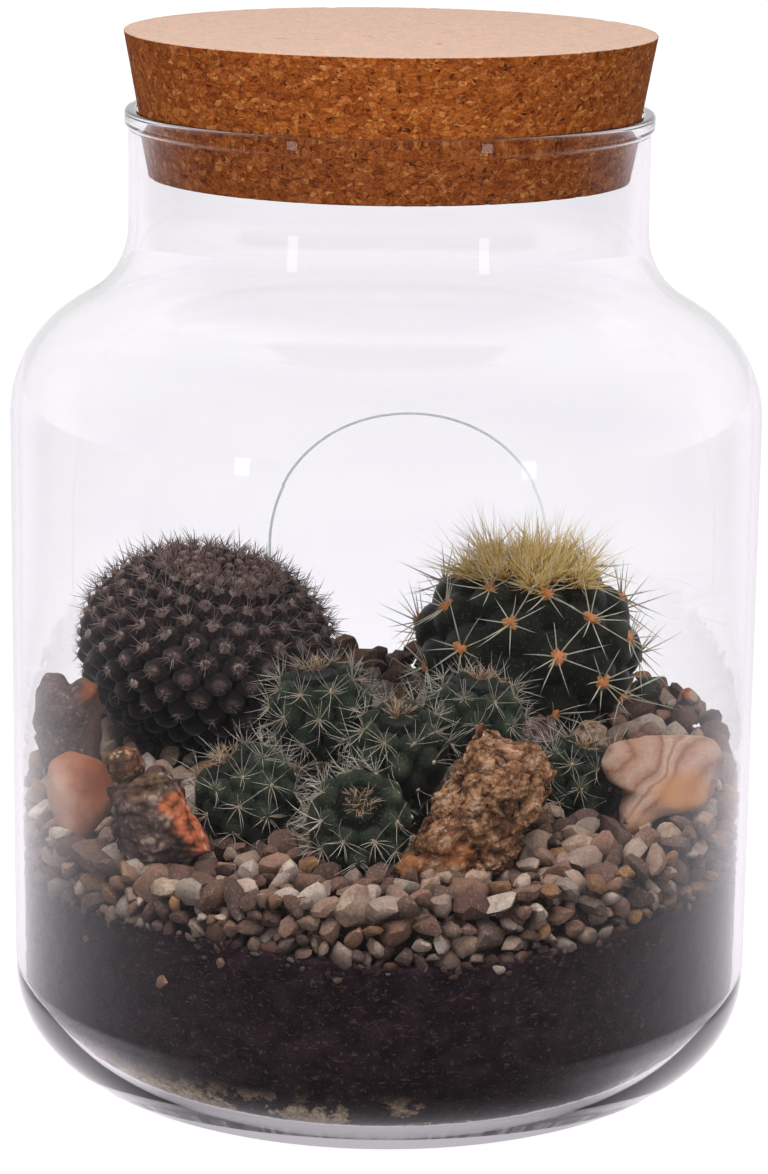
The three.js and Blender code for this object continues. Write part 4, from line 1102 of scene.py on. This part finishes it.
# Each rock: the grid, how often its reach is softened, its noises as (size, depth, octaves), and the lumps
# that it is made up of as (size, depth of the creases, step from one lump to the next). A stone that lies on
# another sinks by as much as the relief takes from that one. Its look has the mottle's two colours, scales
# and specks, and the bump's strength and depth. Its spots are (centre, size, colour, strength).
rocks = dict(
    crag_rock=dict(
        grid=(160, 230), soft=5, noises=[(11, 1.2, 2)], lumps=[(9, 2.4, 3.2), (4, 1.2, 1.6), (1.7, 0.5, 0.7)],
        look=dict(first=(106, 70, 46), second=(148, 110, 80), scales=(160.0, 900.0), specks=0.6, bump=(0.9, 0.9)),
        spots=[
            ((20, -75, 78), (7, 12, 4), (140, 82, 44), 0.6), ((8, -75, 76), (5, 12, 3), (136, 82, 46), 0.6),
            ((46, -66, 94), (5, 12, 9), (136, 86, 50), 0.6), ((32, -68, 104), (6, 12, 5), (160, 122, 96), 0.5),
        ]),
    banded_stone=dict(
        grid=(90, 130), soft=20, noises=[(12, 0.8, 2), (3, 0.16, 2)], lumps=[],
        look=dict(way=(-0.8, 0.2, 0.55), width=8.0, bands=[
            (0.0, (158, 130, 114)), (0.3, (150, 116, 98)), (0.5, (126, 88, 70)), (0.62, (150, 120, 102)),
            (0.85, (164, 138, 122)), (1.0, (134, 98, 80)),
        ]),
        spots=[((79, -46, 87), (9, 9, 6), (172, 118, 70), 0.7), ((66, -46, 78), (4, 8, 5), (170, 128, 104), 0.5)]),
    salmon_stone=dict(
        grid=(70, 100), soft=26, noises=[(10, 0.6, 2), (2.4, 0.1, 2)], lumps=[],
        look=dict(first=(138, 82, 52), second=(142, 92, 66), scales=(60.0, 900.0), specks=0.12, bump=(0.25, 0.4),
                  gloss=0.5),
        # The second spot, pale at the stone's left edge, is a painted reflection of the glass's pale sheen
        spots=[
            ((-70, -48, 88), (11, 24, 8), (104, 52, 26), 0.9), ((-86, -48, 80), (7, 24, 14), (176, 142, 124), 0.7),
        ]),
    tall_stone=dict(
        grid=(90, 130), soft=4, noises=[(9, 1.6, 4), (2, 0.35, 2)], lumps=[],
        look=dict(first=(98, 76, 70), second=(64, 48, 43), scales=(120.0, 900.0), specks=0.4, bump=(0.9, 0.9)),
        spots=[
            ((-75, -18, 106), (6, 12, 5), (128, 72, 42), 0.8), ((-74, -18, 94), (6, 12, 12), (82, 58, 46), 0.75),
        ]),
    brown_slab=dict(
        grid=(110, 160), soft=3, noises=[(8, 0.8, 3)], lumps=[(6, 0.9, 1.2), (2.2, 0.4, 0.4)],
        look=dict(first=(60, 47, 43), second=(90, 72, 66), scales=(130.0, 1000.0), specks=0.25, bump=(0.8, 0.8)),
        spots=[
            ((-52, -67, 88), (4.6, 9, 4.2), (170, 96, 62), 0.85),
            ((-48.5, -67, 83.5), (4.6, 9, 4.2), (178, 98, 64), 0.9),
            ((-45, -67, 79), (5, 9, 4.4), (168, 94, 62), 0.9), ((-62, -63, 93), (8, 9, 5), (110, 84, 58), 0.6),
        ]),
    ochre_stone=dict(
        grid=(60, 90), soft=4, noises=[(5, 0.4, 2)], lumps=[(4, 0.2, 0.7), (1.4, 0.15, 0.3)], sink=1.8,
        look=dict(first=(112, 70, 38), second=(66, 48, 32), scales=(260.0, 1000.0), specks=0.4, bump=(0.5, 0.5)),
        spots=[((-62, -62, 98), (2.5, 3, 3), (80, 46, 38), 0.7)]),
    mauve_rock=dict(
        grid=(60, 90), soft=3, noises=[(5, 0.5, 3)], lumps=[(4, 0.6, 0.9), (1.5, 0.2, 0.3)],
        look=dict(first=(112, 88, 84), second=(82, 62, 60), scales=(200.0, 1000.0), specks=0.4, bump=(0.8, 0.7))),
    beige_rock=dict(
        grid=(60, 90), soft=3, noises=[(5, 0.5, 3)], lumps=[(4, 0.6, 0.9), (1.5, 0.2, 0.3)],
        look=dict(first=(142, 116, 98), second=(106, 84, 70), scales=(200.0, 1000.0), specks=0.4, bump=(0.8, 0.7))),
    dark_pebble=dict(
        grid=(40, 60), soft=12, noises=[(5, 0.3, 2)], lumps=[],
        look=dict(first=(62, 66, 58), second=(42, 44, 40), scales=(180.0, 900.0), specks=0.2, bump=(0.3, 0.4),
                  gloss=0.5)),
    rust_tip_stone=dict(
        grid=(50, 70), soft=6, noises=[(4, 0.4, 2)], lumps=[(4, 0.2, 0.5)],
        look=dict(first=(120, 102, 92), second=(94, 78, 72), scales=(160.0, 900.0), specks=0.3, bump=(0.5, 0.5)),
        spots=[((84.5, 26, 95.5), (3.5, 4, 2.6), (146, 82, 44), 0.9)]),
)


# Stone finish: mottled ground, then spots of other colours laid over it, then painted shade in the creases and
# painted highlights on the ridges
def stoneLook(name, first, second, scales, specks, bump, spots, gloss=0.8):
    look, tree, shader = newLook(name, gloss)
    ground = addMottle(tree, first, second, *scales, specks)
    color = addSpots(tree, ground["Color"], spots)
    pit = attribute(tree, "pit")
    # Painted shade: the creases darken towards near black by the pit attribute
    deep = times(tree, spread(tree, pit, 0.25, 0.9), 0.85)
    color = mixColor(tree, deep, color, tint((38, 26, 24)))
    # Painted highlight: the ridges, where pit is low, are mixed towards a pale colour
    light = mixColor(tree, 0.5, color, tint((226, 204, 180)))
    color = mixColor(tree, times(tree, spread(tree, pit, 0.22, 0.0), 0.5), color, light)
    finishLook(tree, shader, color, ground["Height"], *bump)
    return look


# Bands: sheets of colour across a slanted direction, bent by noise
def bandedLook(name, way, bands, width, spots):
    look, tree, shader = newLook(name, 0.55)
    place = objectPlace(tree)
    across = vectorMath(tree, "DOT_PRODUCT", place, way)
    bent = times(tree, noiseNode(tree, place, 60.0, 3.0, 0.5), 0.016)
    step = times(tree, calculate(tree, "ADD", across, bent), 1 / (width * mm))
    color = ramp(tree, calculate(tree, "PINGPONG", step, 1.0), bands)
    grain = addMottle(tree, color, color, 160.0, 1100.0, 0.16)
    finishLook(tree, shader, addSpots(tree, grain["Color"], spots), grain["Height"], 0.3, 0.4)
    return look


# Directions square to a closed grid's skin, from its neighbours along both ways of the grid
def outwardOf(points, rows, turns):
    grid = points[:rows * turns].reshape(rows, turns, 3)
    across = np.roll(grid, -1, 1) - np.roll(grid, 1, 1)
    skin = unit(np.cross(across, np.gradient(grid, axis=0)))
    return closedPoints(skin, (0, 0, -1), (0, 0, 1))


# Lumps bulge between creases and stand out unevenly: square to the skin goes the sum of
# depth (0.6 rough noise - 0.25), of step (value - 0.6) and of -depth crease^1.5, where crease grows with the
# distance from the lump's middle. The attribute pit is how deep the creases are, and the stone's look paints
# shade into the creases and highlights onto the ridges from it.
def makeRock(node, form, seed):
    rows, turns = form["grid"]
    ways, reach, middle = rockReach(node, rows, turns)
    reach = soften(reach, rows, turns, form["soft"])
    points = middle + ways * reach[:, None]
    relief = np.zeros(len(points))
    pit = np.full(len(points), 0.0 if form["lumps"] else 0.15)
    for number, (size, depth, octaves) in enumerate(form["noises"]):
        relief = relief + depth * (roughNoise(points, size, octaves, seed + 10 * number) * 0.6 - 0.25)
    for number, (size, depth, step) in enumerate(form["lumps"]):
        bent = points + 0.3 * size * np.stack([noise(points / size, seed + 30 + k) for k in range(3)], -1)
        away, value = lumps(bent, size, seed + 5 + 10 * number)
        crease = np.clip(away - 0.25, 0, 0.75) / 0.75
        relief = relief - depth * crease ** 1.5 + step * (value - 0.6)
        pit = pit + crease ** 1.5 / len(form["lumps"])
    points = points + outwardOf(points, rows, turns) * relief[:, None] - np.array([0, 0, form.get("sink", 0)])
    word, *words = node.split("_")
    paint = bandedLook if "bands" in form["look"] else stoneLook
    look = paint(word + "".join(part.title() for part in words), spots=form.get("spots", ()), **form["look"])
    settle(makePiece(node, points, closedFaces(rows, turns), look, dict(pit=pit * 1.6)), node, node)


for number, (node, form) in enumerate(rocks.items()):
    makeRock(node, form, 200 + 20 * number)
print("rocks are made")


# Pebbles

bed = dict(
    count=2200, middleSize=3.2, spread=0.36, sizes=(1.2, 5.8), lowest=0.45, topDepth=8.5, glassDepth=8,
    pool=60000, steps=45, touch=0.98, push=0.3, over=2.6, coreInset=5.5, coreDepth=6.5, chips=13, sharp=34,
    colors=[(0.0, (184, 164, 147)), (0.12, (142, 112, 98)), (0.22, (198, 184, 170)), (0.32, (90, 73, 68)),
            (0.42, (148, 108, 64)), (0.48, (128, 101, 87)), (0.58, (64, 51, 48)), (0.68, (150, 112, 95)),
            (0.78, (178, 156, 136)), (0.88, (48, 38, 38)), (1.0, (118, 92, 81))],
    strays=[(-124.9, 45.5, 2.4), (-113.9, 53.5, 2.0), (-96, 52, 1.3), (-72, 54, 1.6), (-141, 50, 1.4)],
    grit=130, gritSizes=(0.6, 1.3), gritDrop=2.4, dusty=5, coreWaves=1.4,
)


# Heights of the soil and of the bed's top at each point
def bedRange(points):
    return soilTop(points[..., 0], points[..., 1]), gravelTop(points[..., 0], points[..., 1])


# Loose packing: balls drawn at random in the top of the bed and along the glass, then pushed apart from
# each other, and back from the glass, the soil, the plants and the rocks, a little at each step. They grow
# from the share lowest of their size at the soil to all of it at the top.
def settleStones():
    rng = np.random.default_rng(21)
    radius = np.exp(rng.normal(np.log(bed["middleSize"]), bed["spread"], bed["count"]))
    radius = np.clip(radius, *bed["sizes"])
    angle, share = 2 * pi * rng.random(bed["pool"]), np.sqrt(rng.random(bed["pool"]))
    x, y = innerRadius * share * np.cos(angle), innerRadius * share * np.sin(angle)
    low, high = soilTop(x, y), gravelTop(x, y)
    z = low + (high - low) * rng.random(bed["pool"])
    near = (high - z < bed["topDepth"]) | (np.hypot(x, y) > innerRadius - bed["glassDepth"])
    spots = np.stack([x, y, z], -1)[near]
    for head in allHeads:
        spots = spots[depthIn(head, spots, 1.5) > 1]
    spots = spots[:bed["count"]]
    low, high = bedRange(spots)
    share = np.clip((spots[:, 2] - low) / (high - low), 0, 1)
    radius = radius[:len(spots)] * (bed["lowest"] + (1.05 - bed["lowest"]) * share)
    for _ in range(bed["steps"]):
        apart = spots[:, None] - spots[None]
        distance = np.linalg.norm(apart, axis=-1) + np.eye(len(spots)) * 99
        overlap = np.clip(bed["touch"] * (radius[:, None] + radius[None]) - distance, 0, None)
        spots = spots + (apart / distance[..., None] * overlap[..., None]).sum(1) * bed["push"]
        for head in allHeads:
            depth = depthIn(head, spots, 0.6)[:, None] * head["radius"] / (head["radius"] + radius[:, None] * 0.75)
            middle = np.array(head["centre"])
            spots = np.where(depth < 1, middle + (spots - middle) / np.maximum(depth, 0.3), spots)
        flat = np.hypot(spots[:, 0], spots[:, 1])
        limit = innerRadius - 0.4 - radius * 0.9
        spots[:, :2] *= np.minimum(1, limit / np.maximum(flat, 1))[:, None]
        low, high = bedRange(spots)
        spots[:, 2] = np.clip(spots[:, 2], low + 0.5 * radius - 0.6, high + bed["over"] - radius * 0.8)
    keep = np.ones(len(spots), bool)
    for head in allHeads:
        keep &= depthIn(head, spots, 0) > 1
    for low, high in rockBoxes:
        keep &= np.linalg.norm((spots - (low + high) / 2) / ((high - low) / 2), axis=1) > 0.75
    return spots[keep], radius[keep]


# Stones against the glass in the soil: strays as (angle, height, radius), then grit strewn below its edge
def strayStones():
    rng = np.random.default_rng(23)
    angle, radius = 360 * rng.random(bed["grit"]), rng.uniform(*bed["gritSizes"], bed["grit"])
    edge = soilTop(innerRadius * np.cos(np.radians(angle)), innerRadius * np.sin(np.radians(angle)))
    grit = np.stack([angle, edge - bed["gritDrop"] * np.abs(rng.standard_normal(bed["grit"])), radius])
    angle, height, radius = np.concatenate([np.array(bed["strays"]).T, grit], 1)
    way, reach = np.radians(angle), innerRadius - 0.2 - radius * 0.7
    return np.stack([reach * np.cos(way), reach * np.sin(way), height], -1), radius


# A stone for each spot: a ball cut back by random flat chips, squashed and turned.
# Reach along a direction is the least of 1 and depth / (direction . chip) over its chips.
def makePebbles():
    spots, radius = settleStones()
    loose = len(spots)
    strays, strayRadius = strayStones()
    spots, radius = np.concatenate([spots, strays]), np.concatenate([radius, strayRadius])
    rng = np.random.default_rng(22)
    ball, faces = ballMesh(2)
    count, chips = len(spots), bed["chips"]
    normals = unit(rng.standard_normal((count, chips, 3)))
    depths = 0.5 + 0.42 * rng.random((count, chips))
    facing = np.einsum("pk,nck->npc", ball, normals)
    reach = np.minimum(1, (depths[:, None] / np.maximum(facing, 0.05)).min(-1))
    stretch = np.stack([1.35 + 0.3 * rng.random(count), 1.0 + 0.2 * rng.random(count),
                        0.7 + 0.25 * rng.random(count)], -1)
    first = unit(rng.standard_normal((count, 3)) * [1, 1, 0.45])
    third = unit(np.cross(first, unit(rng.standard_normal((count, 3)))))
    second = np.cross(third, first)
    local = ball * reach[..., None] * stretch[:, None] * radius[:, None, None]
    points = placed(local, spots, first, second, third)
    flat = np.hypot(points[..., 0], points[..., 1])
    points[..., :2] *= np.minimum(1, (innerRadius - 0.15) / flat)[..., None]
    kind = np.repeat(rng.random(count), len(ball))
    tone = np.repeat(rng.random(count), len(ball))
    edge = soilTop(points[..., 0], points[..., 1])
    bury = np.clip((edge + bed["dusty"] - points[..., 2]) / bed["dusty"], 0, 1)
    bury[loose:loose + len(bed["strays"])] *= 0.3
    values = dict(kind=kind, tone=tone, bury=bury)
    faces = [copyFaces(faces, count, len(ball))]
    piece = makePiece("pebbles", points.reshape(-1, 3), faces, pebbleLook(), values)
    piece.data.set_sharp_from_angle(angle=radians(bed["sharp"]))
    settle(piece, "pebbles", "gravel_bed")


def pebbleLook():
    look, tree, shader = newLook("riverPebbles", 0.72)
    color = ramp(tree, attribute(tree, "kind"), bed["colors"])
    deeper = mixColor(tree, 0.5, color, tint((84, 64, 56)))
    color = mixColor(tree, attribute(tree, "tone"), color, deeper)
    grain = addMottle(tree, color, deeper, 230.0, 1300.0, 0.28)
    stain = times(tree, attribute(tree, "bury"), 0.75)
    color = mixColor(tree, stain, grain["Color"], tint(peat["second"]))
    finishLook(tree, shader, color, grain["Height"], 0.35, 0.6)
    return look


# What lies under the loose stones: the same bed, lower and further in, dark with peat dust and with painted shade
# of the gaps between the stones
def makeCore():
    def lower(x, y):
        return soilTop(x, y) + layers["gap"]

    def upper(x, y):
        grid = np.stack([x, y, 0 * x], -1)
        return gravelTop(x, y) - bed["coreDepth"] + bed["coreWaves"] * noise(grid / 5, 31)

    points, faces = layerPoints(lower, upper, bed["coreInset"], layers["core"], 63)
    look, tree, shader = newLook("dustyShadedGravel", 0.9)
    # Near-black mottle: peat dust, and painted shade for the gaps between the loose stones
    ground = addMottle(tree, (66, 52, 48), (36, 27, 27), 190.0, 700.0, 0.5)
    finishLook(tree, shader, ground["Color"], ground["Height"], 1.0, 2.0)
    settle(makePiece("bedCore", points, faces, look), "pebbles", "gravel_bed")


makePebbles()
makeCore()


# Hoop

hoop = dict(x=7, y=78, middle=123.5, radius=40.5, thickness=0.4, foot=76, steps=96, sides=8)


# Tube round a path: ring points are path + thickness (cos a side - sin a other), where thickness is half
# that of the thread
def makeHoop():
    turn = np.linspace(pi, 0, hoop["steps"])
    path = np.stack([hoop["x"] + hoop["radius"] * np.cos(turn), 0 * turn + hoop["y"],
                     hoop["middle"] + hoop["radius"] * np.sin(turn)], -1)
    foot = np.linspace(hoop["foot"], hoop["middle"], 14)[:-1, None]
    left = np.concatenate([path[:1, :2] + 0 * foot, foot], 1)
    right = np.concatenate([path[-1:, :2] + 0 * foot, foot], 1)[::-1]
    path = np.concatenate([left, path, right])
    way = unit(np.gradient(path, axis=0))
    side = np.array([0.0, 1.0, 0.0]) + 0 * way
    other = np.cross(way, side)
    angle = np.arange(hoop["sides"]) * 2 * pi / hoop["sides"]
    grid = path[:, None] + hoop["thickness"] * turnedWay(side[:, None], -other[:, None], angle)
    points = closedPoints(grid, path[0], path[-1])
    faces = [part[:, ::-1] for part in closedFaces(len(path), hoop["sides"])]
    along = np.concatenate([np.repeat(np.linspace(0, 1, len(path)), hoop["sides"]), [0, 1]])
    look, tree, shader = newLook("clearFilament", 0.25)
    grain = addMottle(tree, (150, 172, 166), (176, 192, 188), 300.0, 1500.0, 0.05)
    tree.links.new(grain["Color"], shader.inputs["Base Color"])
    fade = spread(tree, attribute(tree, "along"), 0.6, 0.8, 0.42, 0.18)
    tree.links.new(fade, shader.inputs["Alpha"])
    settle(makePiece("filamentHoop", points, faces, look, dict(along=along)), "filament", "filament_hoop")


makeHoop()

bpy.context.view_layer.update()
